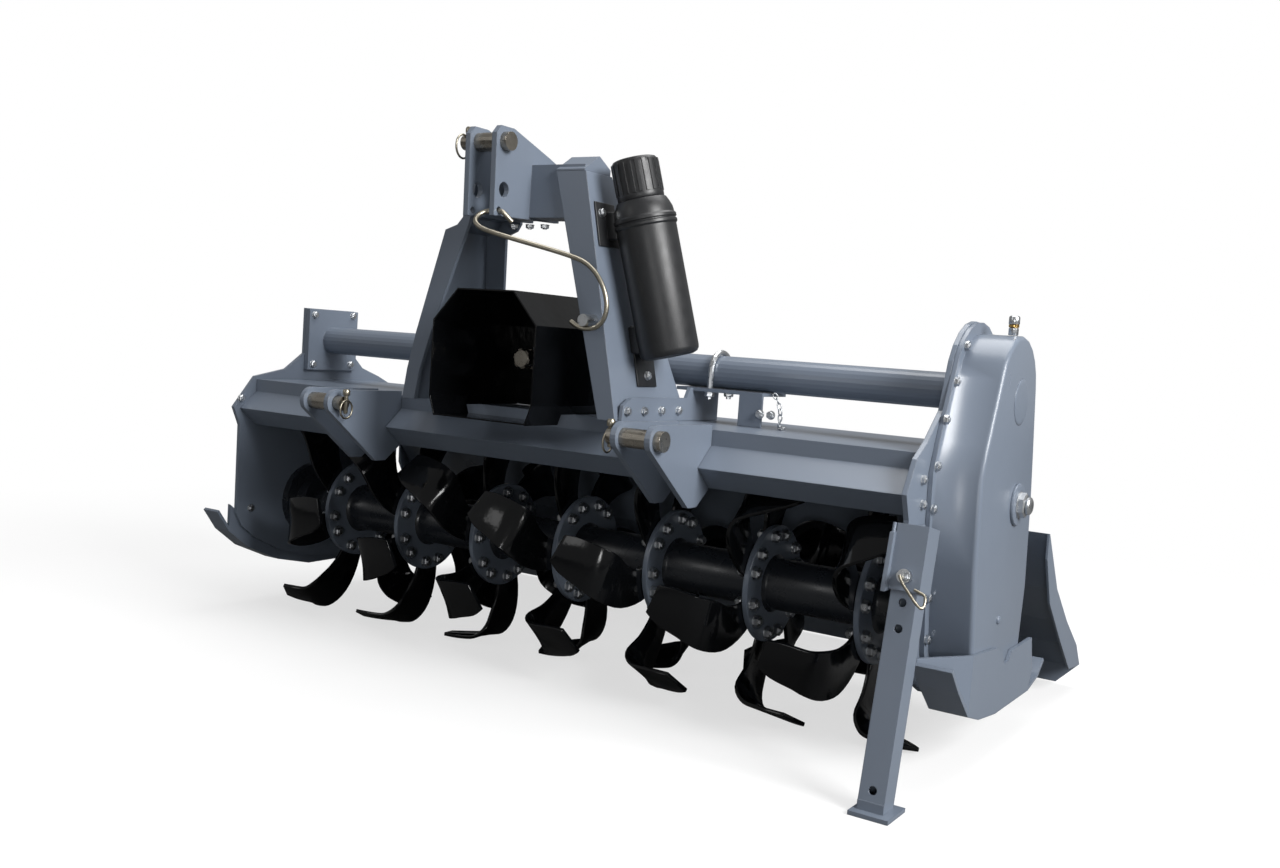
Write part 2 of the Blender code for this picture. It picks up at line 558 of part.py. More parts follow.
COLLAR_OUT = 0.0025
CAN_ROWS = [(0.0, CAN_R - 0.003), (0.004, CAN_R), (body_length - 0.012, CAN_R),
            (body_length - 0.010, CAN_R + COLLAR_OUT), (body_length - 0.002, CAN_R + COLLAR_OUT),
            (body_length, CAN_R),
            (body_length + SHOULDER_LENGTH, CAP_R + 0.002)]
canister = turned("canister", CAN_FOOT, can_axis, CAN_ROWS, BLACK_PLASTIC)
CAP_ROWS = [(GAP, CAP_R), (CAP_LENGTH - 0.006, CAP_R), (CAP_LENGTH, CAP_R - 0.005)]
cap = turned("canister_cap", can_neck, can_axis, CAP_ROWS, BLACK_PLASTIC)
pad_gap = GAP * 1.5
# rows: low z, high z, front y, rear y, reach off the leg
PAD_ROWS = [(can_top_z - 0.134, can_top_z - 0.088, -0.218, -0.192, 0.022),
            (CAN_FOOT_Z + 0.002, CAN_FOOT_Z + 0.046, -0.172, -0.130, 0.020)]
for low_z, high_z, front_y, rear_y, reach in PAD_ROWS:
    pad = prism("pad", [(ridge_x(low_z) + pad_gap, low_z), (ridge_x(low_z) + reach, low_z),
                        (ridge_x(high_z) + reach, high_z), (ridge_x(high_z) + pad_gap, high_z)],
                front_y, rear_y, BLACK_PLASTIC, "Y")
    fuse(canister, pad)

# Hook wire: bent bar from the mast head's small hole to a clip stud on the right leg
WIRE_R = 0.004
CLIP_X = 0.186
CLIP_Z = 0.645
CLIP_R = 0.010
CLIP_REACH = 0.0315
cheek_x = HEAD_HALF_GAP + HEAD_T / 2
hang_z = HOOK_HOLE_R - WIRE_R - GAP
# rows from the hole: x, y, z
WIRE_TOP = [(0.024, 0.013, -0.018), (0.014, 0.002, -0.004), (0.008, 0.000, -hang_z),
            (-0.010, 0.000, -hang_z), (-0.020, -0.009, -0.004), (-0.023, -0.024, -0.015),
            (-0.017, -0.030, -0.027), (0.007, -0.027, -0.038)]
# rows from the clip's stud: x, y, z
WIRE_LOW = [(-0.028, -0.008, 0.102), (0.003, -0.002, 0.088), (0.028, 0.0, 0.060), (0.040, 0.0, 0.027),
            (0.036, 0.0, 0.003), (0.022, 0.0, -0.011), (0.000, 0.0, -CLIP_R - WIRE_R - GAP),
            (-0.018, 0.0, -0.011), (-0.030, 0.0, -0.003)]
wire_y = MAST_Y - CLIP_REACH + 0.010
wire_points = [(cheek_x + x, HOOK_HOLE_Y + y, HOOK_HOLE_Z + z) for x, y, z in WIRE_TOP]
wire_points += [(CLIP_X + x, wire_y + y, CLIP_Z + z) for x, y, z in WIRE_LOW]
bent_bar("hook_wire", wire_points, WIRE_R, ZINC)
clip = rod("hook_clip", (CLIP_X, MAST_Y - GAP, CLIP_Z), (CLIP_X, MAST_Y - CLIP_REACH, CLIP_Z), CLIP_R,
           ZINC, 16)

# Parking stand: sleeve on a plate bolted to the right side plate
lean = Matrix.Rotation(math.radians(-STAND_LEAN_DEG), 4, "X")
stand_frame = Matrix.Translation((STAND_X, STAND_Y, STAND_Z)) @ lean
STAND_DIR = (lean @ Vector((0, 0, 1))).normalized()


def square_tube(name, outer, wall, low, high, material, origin):
    """A square tube along the stand's axis, its length measured from the sleeve's middle."""
    bm = bmesh.new()
    rings = []
    for half in (outer / 2, outer / 2 - wall):
        for z in (low, high):
            rings.append([bm.verts.new(stand_frame @ Vector((x * half, y * half, z)))
                          for x, y in ((-1, -1), (1, -1), (1, 1), (-1, 1))])
    outer_low, outer_high, inner_low, inner_high = rings
    for first, second in ((outer_low, outer_high), (inner_low, inner_high), (outer_low, inner_low),
                          (outer_high, inner_high)):
        for index in range(4):
            following = (index + 1) % 4
            bm.faces.new((first[index], first[following], second[following], second[index]))
    return finish(name, bm, material, origin)


SLEEVE_HALF = 0.046
stand_sleeve = square_tube("stand_sleeve", SLEEVE_OUT, SLEEVE_WALL, -SLEEVE_HALF, SLEEVE_HALF, GREY_PAINT,
                           (0, 0, 0))
sleeve_side_x = STAND_X - SLEEVE_OUT / 2
PIN_LEVEL = -0.026
PIN_R = 0.006
BORE_HALF = 0.035


def stand_bar(name, start_y, end_y, level, radius, material):
    """A round bar across the stand, along its own fore-and-aft direction."""
    start = stand_frame @ Vector((0, start_y, level))
    end = stand_frame @ Vector((0, end_y, level))
    return rod(name, start, end, radius, material, 16)


stand_plate = prism("stand_plate", [(-0.2875, 0.2985), (-0.170, 0.2985), (-0.145, 0.320), (-0.145, 0.379),
                                    (-0.2690, 0.379)],
                    SIDE_X + SIDE_T + GAP, sleeve_side_x + 0.0005, GREY_PAINT)
fuse(stand_sleeve, stand_plate)
cut(stand_sleeve, stand_bar("pin_bore", -BORE_HALF, BORE_HALF, PIN_LEVEL, PIN_R + GAP, ZINC))
pin_inner_y = -LEG_OUT / 2 - 0.0008
lock_pin = stand_bar("lock_pin", pin_inner_y, -SLEEVE_OUT / 2 - 0.020, PIN_LEVEL, PIN_R, ZINC)
pin_collar = stand_bar("pin_collar", -SLEEVE_OUT / 2 - GAP, -SLEEVE_OUT / 2 - 0.008, PIN_LEVEL, 0.010, ZINC)
fuse(lock_pin, pin_collar)

# Stand leg with its foot plate
foot_centre_y = STAND_Y - STAND_Z * math.tan(math.radians(STAND_LEAN_DEG))
leg_down = -(STAND_Z - 0.012) / math.cos(math.radians(STAND_LEAN_DEG))
leg_top = SLEEVE_HALF - 0.004
stand_leg = square_tube("stand_leg", LEG_OUT, LEG_WALL, leg_down, leg_top, GREY_PAINT,
                        (STAND_X, STAND_Y, STAND_Z))
FOOT_PLATE_HALF = 0.032
FOOT_PLATE_T = 0.006
foot_plate = box("foot_plate", (STAND_X - FOOT_PLATE_HALF + 0.006, STAND_X + FOOT_PLATE_HALF),
                 (foot_centre_y - FOOT_PLATE_HALF, foot_centre_y + FOOT_PLATE_HALF), (0.0, FOOT_PLATE_T),
                 GREY_PAINT)
foot_block = box("foot_block", (STAND_X - LEG_OUT / 2, STAND_X + LEG_OUT / 2),
                 (foot_centre_y - LEG_OUT / 2 + 0.002, foot_centre_y + LEG_OUT / 2 + 0.0025),
                 (FOOT_PLATE_T / 2, 0.0190), GREY_PAINT)
fuse(stand_leg, foot_plate, foot_block)
for level in (PIN_LEVEL, -0.062, -0.098, -0.318):
    cut(stand_leg, stand_bar("leg_bore", -BORE_HALF, BORE_HALF, level, PIN_R, ZINC))

# Skids: sole strips along the foot of each side, with an upright flange
SKID_T = 0.006
LEFT_SOLE = [(-0.239, 0.208), (-0.208, 0.166), (-0.155, 0.126), (-0.073, 0.092), (0.013, 0.074),
             (0.190, 0.076), (0.262, 0.115), (0.290, 0.146)]
left_face = -SIDE_X - SIDE_T - GAP
skid_left = prism("skid_left", ribbon(LEFT_SOLE, SKID_T), left_face - 0.044, left_face, GREY_PAINT)
WEB_HEIGHT = 0.056
left_web = ([(y, z + 0.002) for y, z in LEFT_SOLE[1:-1]]
            + [(y, z + WEB_HEIGHT) for y, z in reversed(LEFT_SOLE[1:-1])])
skid_web = prism("skid_web", left_web, left_face - SKID_T, left_face, GREY_PAINT)
fuse(skid_left, skid_web)
RIGHT_SOLE = [(-0.196, 0.182), (-0.160, 0.146), (-0.104, 0.098), (-0.050, 0.082), (0.035, 0.0725),
              (0.220, 0.0725), (0.280, 0.086), (0.310, 0.108)]
RIGHT_WEB = [(-0.102, 0.1000), (-0.050, 0.0845), (0.035, 0.0750), (0.220, 0.0750), (0.235, 0.108),
             (0.215, 0.165), (0.100, 0.163), (0.086, 0.148), (0.062, 0.148), (0.050, 0.168), (0.020, 0.181),
             (-0.102, 0.190)]
right_face = case_x + CASE_DEPTH + GAP
SOLE_WIDTH = 0.054
skid_right = prism("skid_right", ribbon(RIGHT_SOLE, SKID_T), right_face - SOLE_WIDTH, right_face + SKID_T,
                   GREY_PAINT)
right_web = prism("right_web", RIGHT_WEB, right_face, right_face + SKID_T, GREY_PAINT)


def sole_z(y):
    """Height of the right sole's middle at y."""
    for (low_y, low_z), (high_y, high_z) in zip(RIGHT_SOLE, RIGHT_SOLE[1:]):
        if low_y <= y <= high_y:
            return low_z + (high_z - low_z) * (y - low_y) / (high_y - low_y) + SKID_T / 2
    return RIGHT_SOLE[-1][1] + SKID_T / 2


NOSE_TOP_Z = 0.190
nose_corners = [(right_face, -0.100), (right_face + SKID_T, -0.102), (right_face - 0.050, -0.187),
                (right_face - SOLE_WIDTH, -0.182)]
nose_mesh = bmesh.new()
nose_low = [nose_mesh.verts.new((x, y, sole_z(y))) for x, y in nose_corners]
nose_high = [nose_mesh.verts.new((x, y, NOSE_TOP_Z)) for x, y in nose_corners]
nose_mesh.faces.new(nose_low)
nose_mesh.faces.new(nose_high)
for index in range(4):
    following = (index + 1) % 4
    nose_mesh.faces.new((nose_low[index], nose_low[following], nose_high[following], nose_high[index]))
right_nose = finish("right_nose", nose_mesh, GREY_PAINT)
fuse(skid_right, right_web, right_nose)

# Bearing hub inside the left side plate
hub = rod("bearing_hub", (-SIDE_X + GAP, 0, AXIS_Z), (-SIDE_X + 0.016, 0, AXIS_Z), 0.078, GREY_PAINT)
hub_nose = rod("hub_nose", (-SIDE_X + 0.012, 0, AXIS_Z), (-SIDE_X + 0.040, 0, AXIS_Z), 0.052, GREY_PAINT)
hub_bore = rod("hub_bore", (-SIDE_X + 0.010, 0, AXIS_Z), (-SIDE_X + 0.060, 0, AXIS_Z),
               ROTOR_STUB_R + 0.0005, GREY_PAINT)
fuse(hub, hub_nose)
cut(hub, hub_bore)
drive_hub = rod("drive_hub", (SIDE_X - 0.022, 0, AXIS_Z), (SIDE_X - GAP, 0, AXIS_Z), 0.060, GREY_PAINT)
drive_bore = rod("drive_bore", (SIDE_X - 0.040, 0, AXIS_Z), (SIDE_X - 0.006, 0, AXIS_Z),
                 ROTOR_STUB_R + 0.0005, GREY_PAINT)
cut(drive_hub, drive_bore)

# Tine rotor: tube with stub ends, bolted flanges, and curved tines bent to alternate sides
ROTOR_AXIS = (0.0, 0.0, AXIS_Z)
rotor = rod("tine_rotor", (ROTOR_TUBE_LOW_X, 0, AXIS_Z), (ROTOR_TUBE_HIGH_X, 0, AXIS_Z), ROTOR_TUBE_R,
            BLACK_PAINT, 20, origin=ROTOR_AXIS)
stub_left = rod("stub_left", (-SIDE_X + 0.014, 0, AXIS_Z), (ROTOR_TUBE_LOW_X + 0.01, 0, AXIS_Z),
                ROTOR_STUB_R, BLACK_PAINT)
stub_right = rod("stub_right", (ROTOR_TUBE_HIGH_X - 0.01, 0, AXIS_Z), (SIDE_X - 0.009, 0, AXIS_Z),
                 ROTOR_STUB_R, BLACK_PAINT)
fuse(rotor, stub_left, stub_right)
# rows: radius, lag behind the root in degrees, sideways reach, blade width
TINE_ROWS = [(0.060, 0.0, 0.0000, 0.044), (0.100, 1.5, 0.0000, 0.047), (0.148, 8.0, 0.0005, 0.053),
             (0.178, 13.5, 0.0030, 0.061), (0.1965, 17.5, 0.0110, 0.068), (0.2075, 20.0, 0.0260, 0.071),
             (0.2130, 22.0, 0.0450, 0.068), (0.2160, 24.5, 0.0740, 0.057), (0.2170, 27.0, 0.0960, 0.034)]
END_REACH = 0.85               # the last flange's outward tines are shorter, clear of the side plate


def tine(flange_x, root_deg, hand, share):
    """One blade: flat root on the flange's face, then swept back and bent to its side."""
    base_x = flange_x + hand * (FLANGE_T / 2 + TINE_T / 2 - 0.0008)
    centres = []
    for radius, lag, reach, width in TINE_ROWS:
        angle = math.radians(root_deg - lag)
        centres.append(Vector((base_x + hand * reach * share, radius * math.cos(angle),
                               AXIS_Z + radius * math.sin(angle))))
    bm = bmesh.new()
    rings = []
    for index, (radius, lag, reach, width) in enumerate(TINE_ROWS):
        before = centres[max(index - 1, 0)]
        after = centres[min(index + 1, len(centres) - 1)]
        run = (after - before).normalized()
        angle = math.radians(root_deg - lag)
        around = Vector((0.0, -math.sin(angle), math.cos(angle)))
        across = (around - run * around.dot(run)).normalized()
        normal = run.cross(across)
        half = across * width / 2
        thick = normal * TINE_T / 2
        centre = centres[index]
        rings.append([bm.verts.new(centre + half * a + thick * b)
                      for a, b in ((-1, -1), (1, -1), (1, 1), (-1, 1))])
    for lower, upper in zip(rings, rings[1:]):
        for index in range(4):
            following = (index + 1) % 4
            bm.faces.new((lower[index], lower[following], upper[following], upper[index]))
    bm.faces.new(rings[0])
    bm.faces.new(rings[-1])
    return finish("tine", bm, BLACK_PAINT)


for number in range(FLANGE_COUNT):
    flange_x = FLANGE_FIRST_X + FLANGE_PITCH * number
    flange = rod("flange", (flange_x - FLANGE_T / 2, 0, AXIS_Z), (flange_x + FLANGE_T / 2, 0, AXIS_Z),
                 FLANGE_R, BLACK_PAINT, 24)
    blades = []
    for place in range(TINES_PER_FLANGE):
        root_deg = TINE_FIRST_DEG + TINE_STEP_DEG * number + place * 360.0 / TINES_PER_FLANGE
        hand = -1 if place % 2 else 1
        share = END_REACH if hand * (number - (FLANGE_COUNT - 1) / 2) == (FLANGE_COUNT - 1) / 2 else 1.0
        blades.append(tine(flange_x, root_deg, hand, share))
    fuse(flange, *blades)
    fuse(rotor, flange)
smooth(rotor)

# Tail board: curved sheet with end plates, hung behind the deck
BOARD_T = 0.003
BOARD_LOW_X = -0.7340
BOARD_HIGH_X = 0.8080
BOARD_PATH = [(0.2745, 0.388), (0.2820, 0.335), (0.370, 0.225), (0.468, 0.150), (0.562, 0.090),
              (0.606, 0.040), (0.600, 0.004)]
HINGE = (HINGE_Y, HINGE_Z)
board = prism("tail_board", ribbon(BOARD_PATH, BOARD_T), BOARD_LOW_X, BOARD_HIGH_X, GREY_PAINT,
              origin=(0.0, HINGE_Y, HINGE_Z))
END_OUTLINE = [(0.2822, 0.335), (0.2835, 0.290), (0.330, 0.205), (0.424, 0.127), (0.520, 0.052),
               (0.590, 0.046), (0.6020, 0.046), (0.562, 0.0905), (0.468, 0.1505), (0.370, 0.2255)]
END_T = 0.004
for end_x in (BOARD_LOW_X, BOARD_HIGH_X - END_T):
    fuse(board, prism("end_plate", END_OUTLINE, end_x, end_x + END_T, GREY_PAINT))
SHOULDER_X = SIDE_X + SIDE_T + 0.004
cut(board, box("shoulder_room", (SHOULDER_X, BOARD_HIGH_X + END_T), (0.250, 0.300), (0.335, HINGE_Z),
               GREY_PAINT))
CORNER = 0.045
for corner_x, inward in ((BOARD_LOW_X, 1), (BOARD_HIGH_X, -1)):
    edge_x = corner_x - inward * END_T
    corner = [(edge_x, 0.0), (corner_x + inward * CORNER, 0.0), (edge_x, 0.050)]
    cut(board, prism("corner_room", corner if inward > 0 else corner[::-1], 0.500, 0.650, GREY_PAINT, "Y"))

# Hinge: rod through barrels on the deck's lip and knuckles on the board
ROD_R = 0.006
BARREL_R = 0.0105
BARREL_HALF = 0.030
HINGE_OUTER = 0.600
HINGE_INNER = 0.200
knuckle_step = BARREL_HALF * 2 + 0.006
for hinge_x in (-HINGE_OUTER, -HINGE_INNER, HINGE_INNER, HINGE_OUTER):
    barrel = rod("barrel", (hinge_x - BARREL_HALF, HINGE_Y, HINGE_Z),
                 (hinge_x + BARREL_HALF, HINGE_Y, HINGE_Z), BARREL_R, GREY_PAINT, 16)
    strap = prism("strap", [(0.2420, 0.400), (0.2600, 0.397), (0.2600, 0.412), (0.2400, 0.413)],
                  hinge_x - BARREL_HALF, hinge_x + BARREL_HALF, GREY_PAINT)
    fuse(deck, barrel, strap)
for hinge_x in (-HINGE_OUTER + knuckle_step, -HINGE_INNER - knuckle_step, HINGE_INNER + knuckle_step,
                HINGE_OUTER - knuckle_step):
    knuckle = rod("knuckle", (hinge_x - BARREL_HALF, HINGE_Y, HINGE_Z),
                  (hinge_x + BARREL_HALF, HINGE_Y, HINGE_Z), BARREL_R, GREY_PAINT, 16)
    strap = prism("strap", [(0.2620, 0.3970), (0.2745, 0.3860), (0.2770, 0.3900), (0.2700, 0.4080)],
                  hinge_x - BARREL_HALF, hinge_x + BARREL_HALF, GREY_PAINT)
    fuse(board, knuckle, strap)
rod_end = HINGE_OUTER + BARREL_HALF + 0.010
for carrier, clearance in ((deck, 0.0003), (board, 0.0006)):
    cut(carrier, rod("hinge_bore", (-rod_end - 0.06, HINGE_Y, HINGE_Z), (rod_end + 0.06, HINGE_Y, HINGE_Z),
                     ROD_R + clearance, GREY_PAINT, 16))
hinge_rod = rod("hinge_rod", (-rod_end, HINGE_Y, HINGE_Z), (rod_end, HINGE_Y, HINGE_Z), ROD_R, ZINC, 16)
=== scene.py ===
import math

import bmesh
import bpy
from mathutils import Matrix, Vector


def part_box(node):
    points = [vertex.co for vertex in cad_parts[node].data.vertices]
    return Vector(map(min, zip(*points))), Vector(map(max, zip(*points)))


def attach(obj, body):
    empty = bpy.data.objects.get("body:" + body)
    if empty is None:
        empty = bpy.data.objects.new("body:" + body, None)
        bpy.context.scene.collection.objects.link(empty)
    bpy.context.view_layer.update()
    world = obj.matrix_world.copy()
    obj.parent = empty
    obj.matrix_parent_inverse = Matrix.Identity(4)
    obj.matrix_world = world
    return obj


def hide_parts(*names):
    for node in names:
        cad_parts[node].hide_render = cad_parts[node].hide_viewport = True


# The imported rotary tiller: its solids stand in metres where the machine stands. The machine's own
# middle, from which every place below is measured, lies a little off the middle of its box.
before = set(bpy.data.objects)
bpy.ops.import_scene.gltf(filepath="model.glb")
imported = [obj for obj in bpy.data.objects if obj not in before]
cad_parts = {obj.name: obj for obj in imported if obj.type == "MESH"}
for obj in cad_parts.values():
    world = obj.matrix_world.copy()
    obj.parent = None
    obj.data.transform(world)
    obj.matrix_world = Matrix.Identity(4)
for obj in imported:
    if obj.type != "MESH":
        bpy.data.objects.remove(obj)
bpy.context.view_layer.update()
MACHINE_MIDDLE = Vector((-0.02865, -0.13064, 0.0))


def at(x, y, z):
    """A point of the machine: x across to the chain case, y to the rear, z up from the floor."""
    return MACHINE_MIDDLE + Vector((x, y, z))


# Camera: low in front of the chain-case end, with its horizon tipped by a few degrees, as the
# photographer stood. It is a 36 mm frame and a short normal lens.
CAMERA_PLACE = (1.31629, -2.00496, 0.61484)
CAMERA_LENS = 34.474
CAMERA_TURN = math.radians(32.837)
CAMERA_DIP = math.radians(4.243)
CAMERA_TIP = math.radians(-3.984)

forward = Vector((-math.sin(CAMERA_TURN) * math.cos(CAMERA_DIP),
                  math.cos(CAMERA_TURN) * math.cos(CAMERA_DIP), -math.sin(CAMERA_DIP)))
level = Vector((math.cos(CAMERA_TURN), math.sin(CAMERA_TURN), 0.0))
plumb = forward.cross(level)
right = math.cos(CAMERA_TIP) * level + math.sin(CAMERA_TIP) * plumb
down = math.cos(CAMERA_TIP) * plumb - math.sin(CAMERA_TIP) * level
camera_data = bpy.data.cameras.new("camera")
camera_data.lens = CAMERA_LENS
camera_data.sensor_width = 36.0
camera = bpy.data.objects.new("camera", camera_data)
lens_axes = Matrix((right, -down, -forward)).transposed().to_4x4()
camera.matrix_world = Matrix.Translation(CAMERA_PLACE) @ lens_axes
bpy.context.scene.collection.objects.link(camera)
bpy.context.scene.camera = camera


# Plate work: deck, beam, side plates, mast, tubes, stand and tail board are cut and folded mild
# steel, welded, then coated with blue-grey polyester powder and baked. The coat is satin, has a
# faint orange peel about 3 mm across, and rounds off every sheared edge.
PLATE_NODES = ("deck", "front_beam", "lug_left_inner", "lug_left_outer", "lug_right_inner",
               "lug_right_outer", "mast_foot_left", "mast_foot_right", "mast_head", "mast_leg_left",
               "mast_leg_right", "shaft_tube_left", "shaft_tube_right", "side_plate_left",
               "side_plate_right", "skid_left", "skid_right", "stand_leg", "stand_sleeve",
               "tail_board")


def linear(hex_code):
    """A colour written as sRGB hex, as the linear values that a shader takes."""
    parts = [int(hex_code[start:start + 2], 16) / 255 for start in (1, 3, 5)]
    return (*[p / 12.92 if p <= 0.04045 else ((p + 0.055) / 1.055) ** 2.4 for p in parts], 1.0)


def add_node(tree, kind, settings, links=None):
    """Adds a shader node with its settings, and links outputs to its inputs."""
    node = tree.nodes.new(kind)
    for key, value in settings.items():
        if isinstance(key, int) or key in node.inputs.keys():
            node.inputs[key].default_value = value
        else:
            setattr(node, key, value)
    for key, output in (links or {}).items():
        tree.links.new(output, node.inputs[key])
    return node


def surface(name, roughness, metallic=0.0, ior=1.5):
    """A new material with its tree, shader and object coordinates."""
    material = bpy.data.materials.new(name)
    material.use_nodes = True
    tree = material.node_tree
    shader = tree.nodes["Principled BSDF"]
    shader.inputs["Roughness"].default_value = roughness
    shader.inputs["Metallic"].default_value = metallic
    shader.inputs["IOR"].default_value = ior
    where = add_node(tree, "ShaderNodeTexCoord", {})
    return material, tree, shader, where.outputs["Object"]


def two_tone(tree, shader, where, low, high, scale, detail=3.0):
    """Lets the colour drift between two shades in soft patches; scale is patches per metre."""
    patches = add_node(tree, "ShaderNodeTexNoise", {"Scale": scale, "Detail": detail},
                       {"Vector": where})
    shade = add_node(tree, "ShaderNodeMix", {"data_type": "RGBA", 6: linear(low), 7: linear(high)},
                     {0: patches.outputs["Fac"]})
    tree.links.new(shade.outputs[2], shader.inputs["Base Color"])


def sheen_range(tree, shader, where, low, high, scale):
    """Lets the roughness drift between two values."""
    patches = add_node(tree, "ShaderNodeTexNoise", {"Scale": scale, "Detail": 4.0},
                       {"Vector": where})
    spread = add_node(tree, "ShaderNodeMapRange",
                      {"From Min": 0.2, "From Max": 0.8, "To Min": low, "To Max": high},
                      {"Value": patches.outputs["Fac"]})
    tree.links.new(spread.outputs["Result"], shader.inputs["Roughness"])


def relief(tree, shader, where, scale, depth, strength, edge=0.0, detail=2.0):
    """Fine relief of the surface, in metres deep, over edges rounded by a radius."""
    grain = add_node(tree, "ShaderNodeTexNoise", {"Scale": scale, "Detail": detail},
                     {"Vector": where})
    links = {"Height": grain.outputs["Fac"]}
    if edge:
        rounded = add_node(tree, "ShaderNodeBevel", {"samples": 2, "Radius": edge})
        links["Normal"] = rounded.outputs["Normal"]
    bump = add_node(tree, "ShaderNodeBump", {"Strength": strength, "Distance": depth}, links)
    tree.links.new(bump.outputs["Normal"], shader.inputs["Normal"])


def dress(nodes, material):
    """Gives CAD nodes that stay in view their material."""
    for node in nodes:
        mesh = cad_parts[node].data
        if not mesh.materials:
            mesh.materials.append(None)
        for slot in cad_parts[node].material_slots:
            slot.material = material


powder_coat, tree, shader, where = surface("powder_coated_steel", 0.34)
two_tone(tree, shader, where, "#68717e", "#6e7784", 7.0)
sheen_range(tree, shader, where, 0.27, 0.31, 9.0)
relief(tree, shader, where, 330.0, 0.0004, 0.12, edge=0.0022)
dress(PLATE_NODES, powder_coat)


# Chain case cover: one deep pressing of 4 mm steel over the drive chain, with a flanged lip bolted
# to the side plate. Pressing leaves a soft radius of some 7 mm round its face; same powder coat.
PRESS_RADIUS = 0.007


def only(piece):
    """Makes the piece the one that operators act on."""
    bpy.ops.object.select_all(action="DESELECT")
    piece.select_set(True)
    bpy.context.view_layer.objects.active = piece


def pick(piece, test, kind="faces"):
    """In edit mode, selects only the faces, edges or corners that pass the test."""
    bpy.ops.mesh.select_mode(type={"faces": "FACE", "edges": "EDGE", "verts": "VERT"}[kind])
    bpy.ops.mesh.select_all(action="DESELECT")
    shape = bmesh.from_edit_mesh(piece.data)
    shape.normal_update()
    for item in getattr(shape, kind):
        if test(item):
            item.select_set(True)
    shape.select_flush_mode()
    bmesh.update_edit_mesh(piece.data)


def merged_copy(node, name):
    """A copy of a CAD node, its loose triangles joined into whole faces."""
    piece = bpy.data.objects.new(name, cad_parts[node].data.copy())
    bpy.context.scene.collection.objects.link(piece)
    only(piece)
    bpy.ops.object.mode_set(mode="EDIT")
    bpy.ops.mesh.select_all(action="SELECT")
    bpy.ops.mesh.remove_doubles(threshold=0.00002)
    bpy.ops.mesh.dissolve_limited(angle_limit=math.radians(0.5))
    bpy.ops.mesh.normals_make_consistent(inside=False)
    bpy.ops.object.mode_set(mode="OBJECT")
    return piece


def settle(piece, material, body, smooth_deg=35.0):
    """Finishes a piece: place into its mesh, material, shading, and the body it moves with."""
    only(piece)
    bpy.ops.object.transform_apply(location=True, rotation=True, scale=True)
    piece.data.materials.clear()
    piece.data.materials.append(material)
    bpy.ops.object.shade_smooth_by_angle(angle=math.radians(smooth_deg))
    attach(piece, body)
    return piece


case_cover = merged_copy("chain_case", "case_cover")
case_face_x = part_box("chain_case")[1].x
bpy.ops.object.mode_set(mode="EDIT")
pick(case_cover, lambda e: all(v.co.x > case_face_x - 0.0005 for v in e.verts), "edges")
bpy.ops.mesh.bevel(offset=PRESS_RADIUS, segments=5, profile=0.5)
bpy.ops.object.mode_set(mode="OBJECT")
settle(case_cover, powder_coat, "frame")
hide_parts("chain_case")


# Tines: each blade is forged from 7 mm spring steel bar, swept back and bent to one side at its
# end, hardened, and dipped in gloss black paint. The paint has runs, so its shine wavers. Six are
# bolted to the left face of each disc, left and right hands in turn.
AXIS = (0.0, 0.222)                     # y and z of the rotor's axis
FLANGE_PITCH = 0.197
FLANGE_PLACES = [-0.560 + FLANGE_PITCH * number for number in range(7)]
FLANGE_THICK = 0.010
FLANGE_TURN_DEG = 14.0
TINES_A_FLANGE = 6
FIRST_TINE_DEG = -39.0
TINE_STEP_DEG = 60
TINE_THICK = 0.007
TINE_WORN_R = 0.0012
# rows from root to tip: radius, lag behind the root in degrees, reach to the side, blade width
BLADE_ROWS = [(0.060, 0.0, 0.0000, 0.046), (0.100, 1.5, 0.0000, 0.056),
              (0.148, 8.0, 0.0005, 0.072), (0.178, 13.5, 0.0030, 0.080),
              (0.1965, 17.5, 0.0110, 0.084), (0.2075, 20.0, 0.0260, 0.082),
              (0.2115, 22.0, 0.0450, 0.078), (0.2145, 24.5, 0.0740, 0.070),
              (0.2160, 27.0, 0.0960, 0.052)]
STEPS_A_ROW = 3                         # sections drawn for each row
REACH = BLADE_ROWS[-1][2]
LAST_TINE_SHARE = 0.76                  # those beside the side plates are bent less far out

gloss_black, tree, shader, where = surface("gloss_black_dipped_paint", 0.12, ior=1.47)
two_tone(tree, shader, where, "#050607", "#0c0d0f", 22.0)
shader.inputs["Specular IOR Level"].default_value = 0.34
sheen_range(tree, shader, where, 0.07, 0.18, 45.0)
relief(tree, shader, where, 70.0, 0.0010, 0.30, edge=0.0008)


def between(rows, place):
    """A row at a broken place in the table, on a smooth curve through its neighbours."""
    index = min(int(place), len(rows) - 2)
    t = place - index
    nearby = [rows[max(min(index + step, len(rows) - 1), 0)] for step in (-1, 0, 1, 2)]
    return [0.5 * (2 * b + (c - a) * t + (2 * a - 5 * b + 4 * c - d) * t * t
                   + (3 * b - a - 3 * c + d) * t ** 3) for a, b, c, d in zip(*nearby)]


